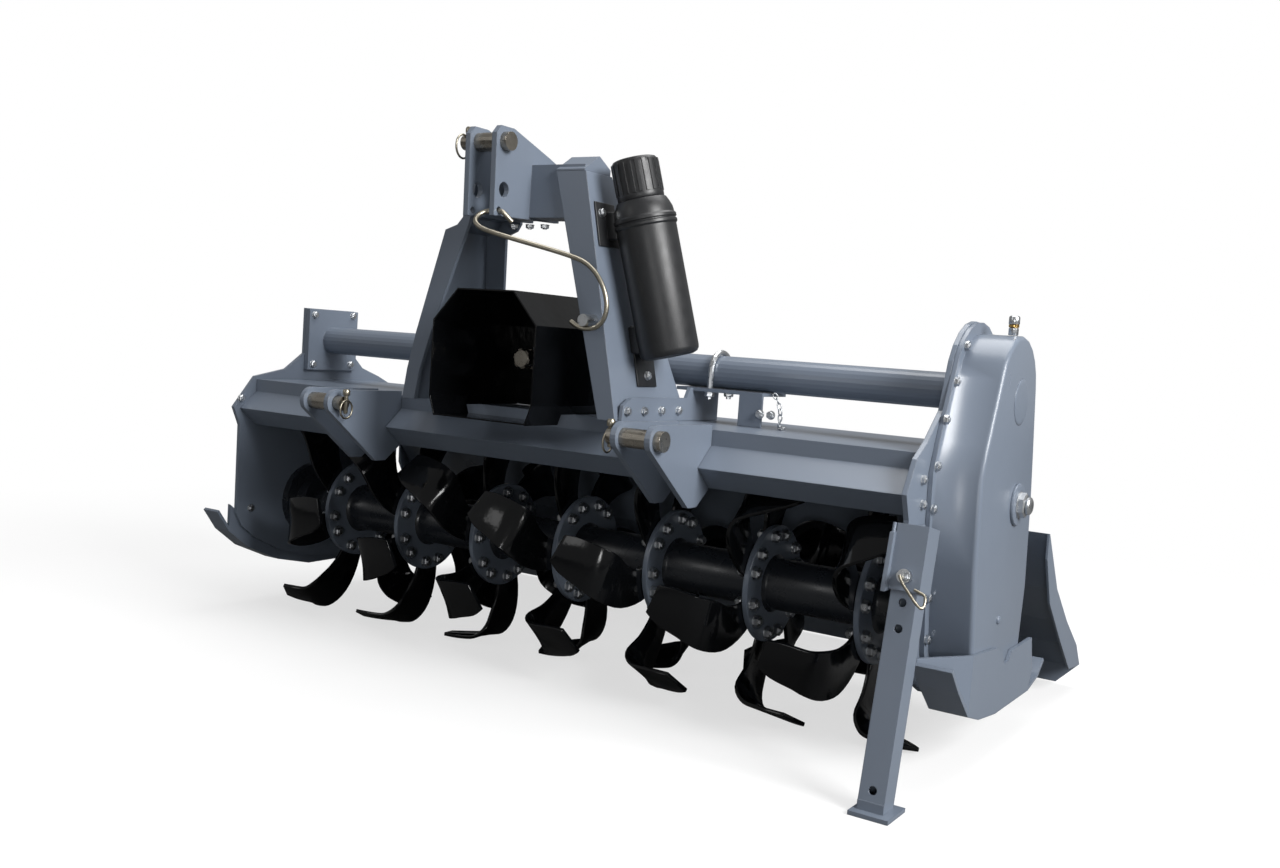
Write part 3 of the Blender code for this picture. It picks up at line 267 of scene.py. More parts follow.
def blade(share):
    """One tine at angle 0, bent towards +x: flat sections along its curve, bridged into a bar."""
    steps = STEPS_A_ROW * (len(BLADE_ROWS) - 1)
    rows = [between(BLADE_ROWS, step / STEPS_A_ROW) for step in range(steps + 1)]
    centres = []
    for radius, lag, reach, width in rows:
        turn = math.radians(-lag)
        centres.append(Vector((reach * share, radius * math.cos(turn), radius * math.sin(turn))))
    sections = []
    for index, (radius, lag, reach, width) in enumerate(rows):
        run = (centres[min(index + 1, steps)] - centres[max(index - 1, 0)]).normalized()
        turn = math.radians(-lag)
        round_axis = Vector((0.0, -math.sin(turn), math.cos(turn)))
        across = (round_axis - run * round_axis.dot(run)).normalized()
        stand = Matrix((across, run.cross(across), run)).transposed()
        bpy.ops.mesh.primitive_plane_add(size=1.0, location=centres[index],
                                         rotation=stand.to_euler())
        bpy.context.object.scale = (width, TINE_THICK, 1.0)
        sections.append(bpy.context.object)
    for section in sections:
        section.select_set(True)
    bpy.ops.object.join()
    bpy.ops.object.transform_apply(location=True, rotation=True, scale=True)
    piece = bpy.context.object
    bpy.ops.object.mode_set(mode="EDIT")
    bpy.ops.mesh.select_all(action="SELECT")
    bpy.ops.mesh.delete(type="ONLY_FACE")
    bpy.ops.mesh.select_all(action="SELECT")
    bpy.ops.mesh.bridge_edge_loops(type="SINGLE")
    bpy.ops.mesh.select_all(action="SELECT")
    bpy.ops.mesh.fill_holes(sides=4)
    bpy.ops.mesh.select_all(action="SELECT")
    bpy.ops.mesh.normals_make_consistent(inside=False)
    bpy.ops.object.mode_set(mode="OBJECT")
    piece.modifiers.new("worn_edges", "BEVEL").width = TINE_WORN_R
    piece.modifiers["worn_edges"].segments = 2
    piece.modifiers["worn_edges"].angle_limit = math.radians(40.0)
    bpy.ops.object.modifier_apply(modifier="worn_edges")
    return piece


def joined(pieces, name):
    """Joins pieces into one, under the name."""
    bpy.ops.object.select_all(action="DESELECT")
    for piece in pieces:
        piece.select_set(True)
    bpy.context.view_layer.objects.active = pieces[0]
    if len(pieces) > 1:
        bpy.ops.object.join()
    bpy.context.object.name = name
    return bpy.context.object


def copies(master, name, places):
    """Copies the master to each place, each with its own mesh, and joins them into one piece."""
    made = []
    for place in places:
        copy = bpy.data.objects.new(name, master.data.copy())
        copy.data.transform(place)
        if place.determinant() < 0:
            copy.data.flip_normals()
        bpy.context.scene.collection.objects.link(copy)
        made.append(copy)
    bpy.data.objects.remove(master, do_unlink=True)
    return joined(made, name)


def rotor_place(flange_x, turn_deg, hand=1):
    """Where a part of the rotor sits: beside a flange, turned about the axis, mirrored if left."""
    turn = Matrix.Rotation(math.radians(turn_deg), 4, "X")
    return Matrix.Translation(at(flange_x, *AXIS)) @ turn @ Matrix.Diagonal((hand, 1.0, 1.0, 1.0))


SEAT_GAP = 0.0002
tine_seat = FLANGE_THICK / 2 + TINE_THICK / 2 + SEAT_GAP
over_disc = 2 * tine_seat / REACH       # right-hand tines first pass their own disc's edge
TINE_KINDS = {"left_tines": (-1, 1.0), "right_tines": (1, 1.0 + over_disc),
              "left_end_tines": (-1, LAST_TINE_SHARE),
              "right_end_tines": (1, LAST_TINE_SHARE + over_disc)}
tine_places = {kind: [] for kind in TINE_KINDS}
for number, flange_x in enumerate(FLANGE_PLACES):
    for place in range(TINES_A_FLANGE):
        hand = -1 if place % 2 else 1
        last = number == (0 if hand < 0 else len(FLANGE_PLACES) - 1)
        kind = ("left_" if hand < 0 else "right_") + ("end_tines" if last else "tines")
        turn = FIRST_TINE_DEG + FLANGE_TURN_DEG * number + TINE_STEP_DEG * place
        tine_places[kind].append(rotor_place(flange_x - tine_seat, turn, hand))
for kind, (hand, share) in TINE_KINDS.items():
    tines = copies(blade(share), kind, tine_places[kind])
    settle(tines, gloss_black, "rotor", 40.0)
    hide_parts("tine_rotor")


# Rotor shaft: a drawn steel tube with turned stub ends, and seven discs welded on it that carry
# the tines. The tube is coloured a near-black slate, a painted shade for the deep shadow under the
# deck; the discs are powder-coated as the frame is.
TUBE_R = 0.044
STUB_R = 0.024
TUBE_ENDS = (-0.640, 0.690)
STUB_ENDS = (-0.708, 0.713)
DISC_R = 0.100
CHAMFER = 0.002
SHOULDER = 0.001                        # length of each step in the shaft, and of a disc's edge
DISC_WELD = [(0.007, 0.0), (0.004, 0.0015), (0.0, 0.006)]   # how far from a disc, how high


def lathe(name, rows, place, sides=48):
    """A turned piece about z: a disc, then one ring for each row of height and radius, closed."""
    first_height, first_radius = rows[0]
    bpy.ops.mesh.primitive_circle_add(vertices=sides, radius=first_radius, fill_type="NGON",
                                      location=(0.0, 0.0, first_height))
    piece = bpy.context.object
    piece.name = name
    bpy.ops.object.mode_set(mode="EDIT")
    bpy.ops.mesh.select_mode(type="FACE")
    bpy.ops.mesh.select_all(action="SELECT")
    height, radius = first_height, first_radius
    for next_height, next_radius in rows[1:]:
        rise = (0.0, 0.0, next_height - height)
        bpy.ops.mesh.extrude_region_move(TRANSFORM_OT_translate={"value": rise})
        ratio = next_radius / radius
        bpy.ops.transform.resize(value=(ratio, ratio, 1.0),
                                 center_override=(0.0, 0.0, next_height))
        height, radius = next_height, next_radius
    bpy.ops.mesh.select_all(action="SELECT")
    bpy.ops.mesh.normals_make_consistent(inside=False)
    bpy.ops.object.mode_set(mode="OBJECT")
    bpy.ops.object.transform_apply(location=True, rotation=True, scale=True)
    piece.data.transform(place)
    return piece


def aim(point, direction):
    """A place whose z axis points along the direction."""
    turn = Vector(direction).to_track_quat("Z", "Y").to_matrix()
    return Matrix.Translation(point) @ turn.to_4x4()


def profile_along_x(breaks):
    """Rows for a lathe from (x, radius) steps."""
    start = breaks[0][0]
    return [(x - start, radius) for x, radius in breaks]


# Near-black slate: painted shade, standing in for the deep shadow under the deck on the rotor tube.
dark_slate_painted_shade, tree, shader, where = surface("dark_slate_steel_painted_shade", 0.25)
two_tone(tree, shader, where, "#1c1f24", "#272b31", 14.0)
sheen_range(tree, shader, where, 0.20, 0.38, 30.0)
relief(tree, shader, where, 250.0, 0.0005, 0.20, edge=0.0010)

# The bearing and drive hubs take the same near-black slate colour.
dress(("bearing_hub", "drive_hub"), dark_slate_painted_shade)

rotor_steps = [(STUB_ENDS[0], STUB_R - CHAMFER), (STUB_ENDS[0] + CHAMFER, STUB_R),
               (TUBE_ENDS[0] - SHOULDER, STUB_R), (TUBE_ENDS[0], TUBE_R - CHAMFER),
               (TUBE_ENDS[0] + CHAMFER, TUBE_R)]
for flange_x in FLANGE_PLACES:
    low, high = flange_x - FLANGE_THICK / 2, flange_x + FLANGE_THICK / 2
    rotor_steps += [(low - away, TUBE_R + rise) for away, rise in DISC_WELD]
    rotor_steps += [(high + away, TUBE_R + rise) for away, rise in reversed(DISC_WELD)]
rotor_steps += [(TUBE_ENDS[1] - CHAMFER, TUBE_R), (TUBE_ENDS[1], TUBE_R - CHAMFER),
                (TUBE_ENDS[1] + SHOULDER, STUB_R), (STUB_ENDS[1] - CHAMFER, STUB_R),
                (STUB_ENDS[1], STUB_R - CHAMFER)]
rotor_shaft = lathe("rotor_shaft", profile_along_x(rotor_steps),
                    aim(at(STUB_ENDS[0], *AXIS), (1, 0, 0)), 64)
settle(rotor_shaft, dark_slate_painted_shade, "rotor")
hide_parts("tine_rotor")

disc_steps = [(0.0, DISC_R - SHOULDER), (SHOULDER, DISC_R), (FLANGE_THICK - SHOULDER, DISC_R),
              (FLANGE_THICK, DISC_R - SHOULDER)]
disc_places = [aim(at(flange_x - FLANGE_THICK / 2, *AXIS), (1, 0, 0))
               for flange_x in FLANGE_PLACES]
tine_disc = lathe("tine_discs", disc_steps, Matrix.Identity(4), 72)
tine_discs = copies(tine_disc, "tine_discs", disc_places)
settle(tine_discs, powder_coat, "rotor")
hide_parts("tine_rotor")


# Bolts: zinc-plated hexagon bolts, cold-forged, bright with a slightly yellow passivation. Each
# has a washer; the tine bolts are M12 and show a head on one face of the disc, a nut on the other.
zinc, tree, shader, where = surface("zinc_plated_steel", 0.30, metallic=1.0)
two_tone(tree, shader, where, "#b9bcc0", "#d3d5d6", 120.0)
sheen_range(tree, shader, where, 0.22, 0.42, 200.0)
relief(tree, shader, where, 900.0, 0.0001, 0.15, edge=0.0004)


def hex_head(across, height, end=0.0):
    """A master bolt head on its washer, standing on z = 0; end adds the thread that a nut shows."""
    radius = across / 2 / math.cos(math.radians(30))
    washer = across * 0.10
    bpy.ops.mesh.primitive_cylinder_add(vertices=20, radius=across * 0.62, depth=washer,
                                        location=(0, 0, washer / 2))
    head = bpy.context.object
    bpy.ops.object.mode_set(mode="EDIT")
    bpy.ops.mesh.select_all(action="DESELECT")
    bpy.ops.mesh.primitive_cylinder_add(vertices=6, radius=radius, depth=height * 0.8,
                                        location=(0, 0, washer + height * 0.4))
    pick(head, lambda f: (f.normal.z > 0.9
                          and f.calc_center_median().z > washer + height * 0.5))
    bpy.ops.mesh.extrude_region_move(TRANSFORM_OT_translate={"value": (0, 0, height * 0.2)})
    bpy.ops.transform.resize(value=(0.84, 0.84, 1.0), center_override=(0, 0, washer + height))
    if end:
        bpy.ops.mesh.inset(thickness=radius * 0.30)
        bpy.ops.mesh.extrude_region_move(TRANSFORM_OT_translate={"value": (0, 0, end)})
    bpy.ops.object.mode_set(mode="OBJECT")
    return head


BOLT_CIRCLE_R = 0.084
HALF_PAIR_DEG = 12.0
PAIR_LAG_DEG = 2.0
head_places = []
nut_places = []
for number, flange_x in enumerate(FLANGE_PLACES):
    for place in range(TINES_A_FLANGE):
        root = FIRST_TINE_DEG + FLANGE_TURN_DEG * number + TINE_STEP_DEG * place
        for turn in (root - HALF_PAIR_DEG - PAIR_LAG_DEG, root + HALF_PAIR_DEG - PAIR_LAG_DEG):
            y = AXIS[0] + BOLT_CIRCLE_R * math.cos(math.radians(turn))
            z = AXIS[1] + BOLT_CIRCLE_R * math.sin(math.radians(turn))
            face = flange_x + FLANGE_THICK / 2
            back = flange_x - FLANGE_THICK / 2 - TINE_THICK
            head_places.append(aim(at(face, y, z), (1, 0, 0)))
            nut_places.append(aim(at(back, y, z), (-1, 0, 0)))
tine_bolt_heads = copies(hex_head(0.0180, 0.0090, end=0.003), "tine_bolt_heads", head_places)
settle(tine_bolt_heads, zinc, "rotor", 25.0)
tine_nuts = copies(hex_head(0.0165, 0.0095, end=0.003), "tine_nuts", nut_places)
settle(tine_nuts, zinc, "rotor", 25.0)


# Frame bolts: M8 bolts, zinc-plated as above, that hold the chain case's lip, the half-shaft
# tube's seat, the bearing hub, the mast feet and the stand's plate.
CASE_X = 0.7303
LIP_X = CASE_X + 0.007
PLATE_OUT = 0.7300
LEG_BOLT_YS = (-0.2175, -0.1665, -0.1134, -0.0578)
FRAME_BOLTS = [  # x, y, z of the washer's face, and the way it looks
    *[(LIP_X, y, z, (1, 0, 0)) for y, z in (
        (-0.0375, 0.6452), (-0.0700, 0.5900), (-0.1010, 0.5330), (-0.1225, 0.4640),
        (-0.1240, 0.4000), (-0.1195, 0.3350), (-0.1115, 0.2650), (-0.1015, 0.2000),
        (0.1800, 0.2600), (0.1730, 0.3400), (0.1660, 0.4200), (0.1490, 0.5050),
        (0.1380, 0.5900), (0.0950, 0.6600))],
    *[(PLATE_OUT, y, z, (1, 0, 0)) for y, z in ((-0.1560, 0.4450), (-0.1500, 0.4080))],
    *[(-PLATE_OUT, y, z, (-1, 0, 0)) for y, z in (
        (-0.018, 0.625), (0.086, 0.625), (-0.018, 0.521), (0.086, 0.521))],
    *[(-0.7100, y, z, (1, 0, 0)) for y, z in (
        (-0.022, 0.6267), (0.0887, 0.6299), (-0.022, 0.5200), (0.0872, 0.5210))],
    *[(-0.7220, y, z, (1, 0, 0)) for y, z in (
        (-0.1321, 0.4656), (-0.1615, 0.2122), (-0.1988, 0.4442))],
    (CASE_X, -0.0797, 0.1916, (1, 0, 0)),
    *[(x, -0.0112, 0.5080, (0, -1, 0)) for x in (-0.4035, -0.3825, 0.3825, 0.4035)],
    *[(x, -0.1900, 0.8048, (0, 0, -1)) for x in (-0.0340, 0.0017, 0.0345)],
    *[(0.2470, y, 0.5025, (1, 0, 0)) for y in LEG_BOLT_YS],
    *[(-0.2360, y, 0.5025, (-1, 0, 0)) for y in LEG_BOLT_YS],
]
M8_HEAD = (0.0125, 0.0055, 0.0015)      # across its flats, height, and the thread that shows
frame_bolts = copies(hex_head(*M8_HEAD), "frame_bolts",
                     [aim(at(x, y, z), way) for x, y, z, way in FRAME_BOLTS])
settle(frame_bolts, zinc, "frame", 25.0)


# Small zinc pieces that the CAD already has at their true shape: U-bolts, hinge rod, lock pin and
# the stud that clips the hook wire.
dress(("u_bolt_left", "u_bolt_right", "hinge_rod", "lock_pin", "hook_clip"), zinc)

U_NUT_XS = (-0.264, 0.275)
U_NUT_YS = (-0.0008, 0.0688)
U_NUT_Z = 0.5375
u_nut_places = [aim(at(x, y, U_NUT_Z), (0, 0, -1)) for x in U_NUT_XS for y in U_NUT_YS]
u_bolt_nuts = copies(hex_head(0.0150, 0.0080, end=0.004), "u_bolt_nuts", u_nut_places)
settle(u_bolt_nuts, zinc, "frame", 25.0)


# Hitch pins: turned bright steel under a brass-tinted zinc flash, each with a loose sleeve between
# its two plates. Turning leaves fine rings, drawn here about 2 mm apart so that they show.
pin_steel, tree, shader, where = surface("turned_pin_steel", 0.28, metallic=1.0)
two_tone(tree, shader, where, "#8c867c", "#b2aca1", 60.0)
sheen_range(tree, shader, where, 0.20, 0.40, 90.0)
rings = add_node(tree, "ShaderNodeTexWave", {"wave_type": "BANDS", "bands_direction": "X",
                                             "Scale": 160.0, "Distortion": 0.6},
                 {"Vector": where})
rounded = add_node(tree, "ShaderNodeBevel", {"samples": 2, "Radius": 0.0008})
bump = add_node(tree, "ShaderNodeBump", {"Strength": 0.10, "Distance": 0.0002},
                {"Height": rings.outputs["Fac"], "Normal": rounded.outputs["Normal"]})
tree.links.new(bump.outputs["Normal"], shader.inputs["Normal"])
dress(("hitch_pin_left", "hitch_pin_right", "top_link_pin"), pin_steel)


# Hook wire: one 8 mm round bar, bent cold and zinc-plated, that hangs in the mast head's small hole
# and is pushed behind a stud on the right leg. It holds the drive shaft up when that is uncoupled.
WIRE_R = 0.004
WIRE_HOLE = (0.028, -0.313, 0.815)
WIRE_STUD = (0.186, -0.262, 0.645)
WIRE_TOP = [(0.024, 0.013, -0.018), (0.014, 0.002, -0.004), (0.008, 0.0, -0.0012),
            (-0.010, 0.0, -0.0012), (-0.020, -0.009, -0.004), (-0.023, -0.024, -0.015),
            (-0.017, -0.030, -0.027), (0.007, -0.027, -0.038)]
WIRE_FOOT = [(-0.028, -0.008, 0.102), (0.003, -0.002, 0.088), (0.028, 0.0, 0.060),
             (0.040, 0.0, 0.027), (0.036, 0.0, 0.003), (0.022, 0.0, -0.011),
             (0.0, 0.0, -0.0143), (-0.018, 0.0, -0.011), (-0.030, 0.0, -0.003)]


def offsets(start, rows):
    """Points of the machine at the given steps from a start."""
    return [at(*start) + Vector(row) for row in rows]


def bent_wire(name, points, radius, closed=False):
    """A round wire drawn along a soft curve through the points, its ends closed."""
    bpy.ops.curve.primitive_nurbs_path_add(location=(0.0, 0.0, 0.0))
    wire = bpy.context.object
    wire.name = name
    spline = wire.data.splines[0]
    if len(points) > len(spline.points):
        spline.points.add(len(points) - len(spline.points))
    for place, point in zip(spline.points, points):
        place.co = (*point, 1.0)
    spline.use_endpoint_u = not closed
    spline.use_cyclic_u = closed
    spline.order_u = 3
    spline.resolution_u = 6
    wire.data.bevel_depth = radius
    wire.data.bevel_resolution = 3
    wire.data.use_fill_caps = not closed
    bpy.ops.object.convert(target="MESH")
    only(wire)
    bpy.ops.object.mode_set(mode="EDIT")
    bpy.ops.mesh.select_all(action="SELECT")
    bpy.ops.mesh.remove_doubles(threshold=0.00001)
    bpy.ops.mesh.normals_make_consistent(inside=False)
    bpy.ops.object.mode_set(mode="OBJECT")
    return wire


flash_zinc, tree, shader, where = surface("yellow_flashed_zinc", 0.33, metallic=1.0)
two_tone(tree, shader, where, "#8d8779", "#b1ab9c", 70.0)
sheen_range(tree, shader, where, 0.26, 0.44, 130.0)
relief(tree, shader, where, 600.0, 0.0002, 0.20)
wire_points = offsets(WIRE_HOLE, WIRE_TOP) + offsets(WIRE_STUD, WIRE_FOOT)
hook_bar = bent_wire("hook_bar", wire_points, WIRE_R)
settle(hook_bar, flash_zinc, "frame", 60.0)
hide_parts("hook_wire")


# Linch pins: each hitch pin is kept in by a drop-forged peg through its end, with a sprung ring of
# 3.5 mm wire folded down over it. Zinc-plated with a yellow flash.
RING_WIRE_R = 0.00175
RING_WAY = (1.0, 0.12, 0.0)
PEG_ROWS = [(0.0, 0.0026), (0.002, 0.0038), (0.032, 0.0038), (0.033, 0.0060), (0.036, 0.0068),
            (0.041, 0.0068), (0.044, 0.0050)]
PEG_BELOW = Vector((0.0, 0.0, 0.018))
# rows, for the top, left and right pin: the peg's place, radius of its ring, the way the ring's
# middle lies from the peg
LINCH_PINS = [((-0.0465, -0.3050, 0.9270), 0.0200, (-0.10, -0.60, -0.40)),
              ((-0.2840, -0.3240, 0.4700), 0.0165, (0.18, -0.10, -0.60)),
              ((0.2905, -0.3240, 0.4700), 0.0165, (-0.18, -0.10, -0.60))]


def ring_points(middle, across, radius, count=12):
    """Points round a ring that looks along one axis."""
    turn = Vector(across).to_track_quat("Z", "Y").to_matrix()
    angles = [math.tau * step / count for step in range(count)]
    return [middle + turn @ Vector((radius * math.cos(angle), radius * math.sin(angle), 0.0))
            for angle in angles]


linch_parts = []
for peg_place, ring_r, lie in LINCH_PINS:
    peg = lathe("linch_peg", PEG_ROWS, aim(at(*peg_place) - PEG_BELOW, (0, 0, 1)), 16)
    ring = ring_points(at(*peg_place) + Vector(lie) * ring_r, RING_WAY, ring_r)
    linch_parts += [peg, bent_wire("linch_ring", ring, RING_WIRE_R, closed=True)]
linch_pins = joined(linch_parts, "linch_pins")
settle(linch_pins, flash_zinc, "frame", 40.0)


# Lock pin's grip: a loop of 4.2 mm spring wire through the stand's lock pin, bent to snap round the
# sleeve. It is plated as the linch pins are, and rides with the pin.
LOOP_WIRE_R = 0.0021
LOOP_STEPS = [(0.000, -0.047, -0.026), (0.004, -0.048, -0.034), (0.017, -0.047, -0.048),
              (0.030, -0.045, -0.062), (0.036, -0.043, -0.066), (0.038, -0.038, -0.062),
              (0.036, -0.033, -0.048), (0.028, -0.030, -0.045), (0.018, -0.031, -0.042)]
STAND_MIDDLE = (0.7590, -0.2440, 0.342)
STAND_LEAN_DEG = -11.5
stand_lean = (Matrix.Translation(at(*STAND_MIDDLE))
              @ Matrix.Rotation(math.radians(STAND_LEAN_DEG), 4, "X"))
lock_loop = bent_wire("lock_pin_loop", [stand_lean @ Vector(step) for step in LOOP_STEPS],
                      LOOP_WIRE_R)
settle(lock_loop, flash_zinc, "frame", 60.0)


# Weld beads: fillets laid by hand where the half-shaft tubes meet the side plates and where the
# stand's sleeve meets its plate, under the same powder coat. Their ripples stand 2.5 mm apart.
weld_coat, tree, shader, where = surface("coated_weld_bead", 0.28)
two_tone(tree, shader, where, "#6a7380", "#78818f", 40.0)
sheen_range(tree, shader, where, 0.22, 0.36, 60.0)
relief(tree, shader, where, 400.0, 0.0020, 0.60)
SHAFT_AXIS = (0.034, 0.573)             # y and z of the half-shaft tubes' axis
TUBE_SEAM_X = 0.7195
TUBE_SEAM_R = 0.0310
TUBE_BEAD_R = 0.0030
SLEEVE_SEAM = [(-0.0262, -0.0245, -0.050), (-0.0262, -0.0240, -0.025), (-0.0262, -0.0243, 0.000),
               (-0.0262, -0.0240, 0.025), (-0.0262, -0.0243, 0.046)]
SLEEVE_BEAD_R = 0.0028
beads = []
for plate_x in (-TUBE_SEAM_X, TUBE_SEAM_X):
    seam = ring_points(at(plate_x, *SHAFT_AXIS), (1, 0, 0), TUBE_SEAM_R, 24)
    beads.append(bent_wire("bead", seam, TUBE_BEAD_R, closed=True))
beads.append(bent_wire("bead", [stand_lean @ Vector(step) for step in SLEEVE_SEAM], SLEEVE_BEAD_R))
weld_beads = joined(beads, "weld_beads")
settle(weld_beads, weld_coat, "frame", 60.0)


# Chain: bright zinc-plated short-link chain, wire 2.2 mm, hooked in the right saddle's tab. Its
# free end lies on the deck.
CHAIN_PATH = [(0.4080, -0.0140, 0.5440), (0.4145, -0.0160, 0.5375), (0.4195, -0.0165, 0.5290),
              (0.4222, -0.0160, 0.5195), (0.4232, -0.0155, 0.5100), (0.4228, -0.0150, 0.5005),
              (0.4215, -0.0140, 0.4915), (0.4195, -0.0085, 0.4862), (0.4180, 0.0010, 0.4862),
              (0.4175, 0.0105, 0.4862), (0.4140, 0.0190, 0.4862), (0.4080, 0.0265, 0.4862)]
LINK = [(-0.0022, -0.0056), (0.0022, -0.0056), (0.0036, -0.0030), (0.0036, 0.0030),
        (0.0022, 0.0056), (-0.0022, 0.0056), (-0.0036, 0.0030), (-0.0036, -0.0030)]
LINK_WIRE_R = 0.0011
link_places = []
for index, (start, end) in enumerate(zip(CHAIN_PATH, CHAIN_PATH[1:])):
    middle = (Vector(start) + Vector(end)) / 2
    roll = Matrix.Rotation(math.radians(90.0 * (index % 2) + 45.0), 4, "Z")
    link_places.append(aim(at(*middle), Vector(end) - Vector(start)) @ roll)
link = bent_wire("link", [Vector((u, 0.0, v)) for u, v in LINK], LINK_WIRE_R, closed=True)
chain = copies(link, "deck_chain", link_places)
settle(chain, zinc, "frame", 60.0)


# Shield over the input shaft: 2.5 mm sheet folded into an eight-sided hood, painted gloss black. A
# rear plate at the gearbox carries it and shuts it behind; as a gloss black sheet it also stands in
# as painted shade for the closed, dark inside of the hood. The plate is cut from sheet, with a
# round hole for the gearbox nose.
dress(("input_shield",), gloss_black)
REAR_PLATE_HALF = 0.1125
REAR_PLATE_Z = (0.4850, 0.6865)
REAR_PLATE_Y = (-0.0619, -0.0602)
REAR_PLATE_SHOULDER = 0.0553
NOSE_HOLE_R = 0.0500
CUTTER_LONG = 0.05
# The rear plate: a black sheet that carries the hood and is painted shade for its dark inside.
plate_low = at(-REAR_PLATE_HALF, REAR_PLATE_Y[0], REAR_PLATE_Z[0])
plate_high = at(REAR_PLATE_HALF, REAR_PLATE_Y[1], REAR_PLATE_Z[1])
bpy.ops.mesh.primitive_cube_add(size=1.0, location=(plate_low + plate_high) / 2)
shield_shade_plate = bpy.context.object
shield_shade_plate.name = "shield_shade_plate"
shield_shade_plate.scale = plate_high - plate_low
bpy.ops.object.transform_apply(location=True, rotation=True, scale=True)
bpy.ops.object.mode_set(mode="EDIT")
pick(shield_shade_plate, lambda e: all(v.co.z > plate_high.z - 0.001 for v in e.verts)
     and abs(e.verts[0].co.x - e.verts[1].co.x) < 0.001, "edges")
bpy.ops.mesh.bevel(offset=REAR_PLATE_SHOULDER, segments=1)
bpy.ops.object.mode_set(mode="OBJECT")
bpy.ops.mesh.primitive_cylinder_add(vertices=48, radius=NOSE_HOLE_R, depth=CUTTER_LONG,
                                    location=at(0.0, REAR_PLATE_Y[0], SHAFT_AXIS[1]),
                                    rotation=(math.pi / 2, 0, 0))
nose_cutter = bpy.context.object
only(shield_shade_plate)
shield_shade_plate.modifiers.new("nose_hole", "BOOLEAN").object = nose_cutter
bpy.ops.object.modifier_apply(modifier="nose_hole")
bpy.data.objects.remove(nose_cutter)
settle(shield_shade_plate, gloss_black, "frame", 30.0)


# Gearbox: a sand-cast iron housing, painted blue-grey over the cast skin, which is grainy at
# about 2 mm and duller than the powder coat.
casting, tree, shader, where = surface("painted_sand_casting", 0.5)
two_tone(tree, shader, where, "#575f6b", "#656e7b", 12.0)
sheen_range(tree, shader, where, 0.42, 0.58, 60.0)
relief(tree, shader, where, 480.0, 0.0008, 0.35, edge=0.003, detail=6.0)
CAST_RADIUS = 0.009
gearbox_casting = merged_copy("gearbox", "gearbox_casting")
bpy.ops.object.mode_set(mode="EDIT")
pick(gearbox_casting, lambda e: (len(e.link_faces) == 2 and e.calc_length() > 0.02
                                 and e.calc_face_angle_signed() > math.radians(30.0)), "edges")
bpy.ops.mesh.bevel(offset=CAST_RADIUS, segments=4)
bpy.ops.object.mode_set(mode="OBJECT")
settle(gearbox_casting, casting, "frame")
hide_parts("gearbox")

# Bolted to the housing: a bearing cap behind and a collar round each half-shaft tube, of the same
# painted casting. Bolts on the housing's top hold its lid.
GEARBOX_REAR_Y = 0.120
GEARBOX_TOP_Z = 0.658
GEARBOX_HALF = 0.085
COVER_SUNK = 0.0005                     # each cover starts this deep in the casting's face
CAP_OUT = 0.007
CAP_BOLTS_R = 0.038
COLLAR_OUT = 0.0115
COLLAR_BOLTS_R = 0.041
LID_BOLTS = ((0.0, 0.030), (-0.050, 0.000), (0.050, 0.000))   # x and y
cap_steps = [(0.0, 0.048), (CAP_OUT - 0.002, 0.048), (CAP_OUT, 0.046), (CAP_OUT + 0.0002, 0.030),
             (CAP_OUT + 0.004, 0.027), (CAP_OUT + 0.0045, 0.010)]
collar_steps = [(0.0, 0.050), (0.010, 0.050), (0.012, 0.048), (0.0122, 0.034), (0.018, 0.0315),
                (0.020, 0.0292)]
cap_seat = at(0.0, GEARBOX_REAR_Y - COVER_SUNK, SHAFT_AXIS[1])
covers = [lathe("gearbox_cap", cap_steps, aim(cap_seat, (0, 1, 0)), 40)]
for hand in (-1, 1):
    collar_seat = at(hand * (GEARBOX_HALF - COVER_SUNK), *SHAFT_AXIS)
    covers.append(lathe("tube_collar", collar_steps, aim(collar_seat, (hand, 0, 0)), 40))
gearbox_covers = joined(covers, "gearbox_covers")
settle(gearbox_covers, casting, "frame")

cover_bolts = []
for step in range(6):
    turn = math.tau * step / 6
    cover_bolts.append(aim(at(CAP_BOLTS_R * math.cos(turn), GEARBOX_REAR_Y + CAP_OUT,
                              SHAFT_AXIS[1] + CAP_BOLTS_R * math.sin(turn)), (0, 1, 0)))
for hand in (-1, 1):
    for step in range(6):
        turn = math.tau * (step + 0.5) / 6
        cover_bolts.append(aim(at(hand * (GEARBOX_HALF + COLLAR_OUT),
                                  SHAFT_AXIS[0] + COLLAR_BOLTS_R * math.cos(turn),
                                  SHAFT_AXIS[1] + COLLAR_BOLTS_R * math.sin(turn)), (hand, 0, 0)))
cover_bolts += [aim(at(x, y, GEARBOX_TOP_Z), (0, 0, 1)) for x, y in LID_BOLTS]
gearbox_bolts = copies(hex_head(0.0105, 0.0050), "gearbox_bolts", cover_bolts)
settle(gearbox_bolts, zinc, "frame", 25.0)


# Document canister: two blow-moulded shells of black HDPE, a body and a ribbed screw cap, with a
# fine leather-like grain. Two moulded tabs bolt it to the mast leg.
moulded_black, tree, shader, where = surface("moulded_black_hdpe", 0.42, ior=1.53)
two_tone(tree, shader, where, "#17181a", "#1f2022", 30.0)
sheen_range(tree, shader, where, 0.34, 0.48, 60.0)
relief(tree, shader, where, 420.0, 0.0006, 0.30, edge=0.001, detail=4.0)

TOP_PIN_Z = 0.927
LEG_FOOT = (0.4860, 0.2400)             # z and x of the right mast leg's ridge at the deck
LEG_HEAD = (0.8880, 0.1510)


def ridge_x(z):
    """x of the right mast leg's ridge at height z."""
    (foot_z, foot_x), (head_z, head_x) = LEG_FOOT, LEG_HEAD
    return foot_x + (head_x - foot_x) * (z - foot_z) / (head_z - foot_z)


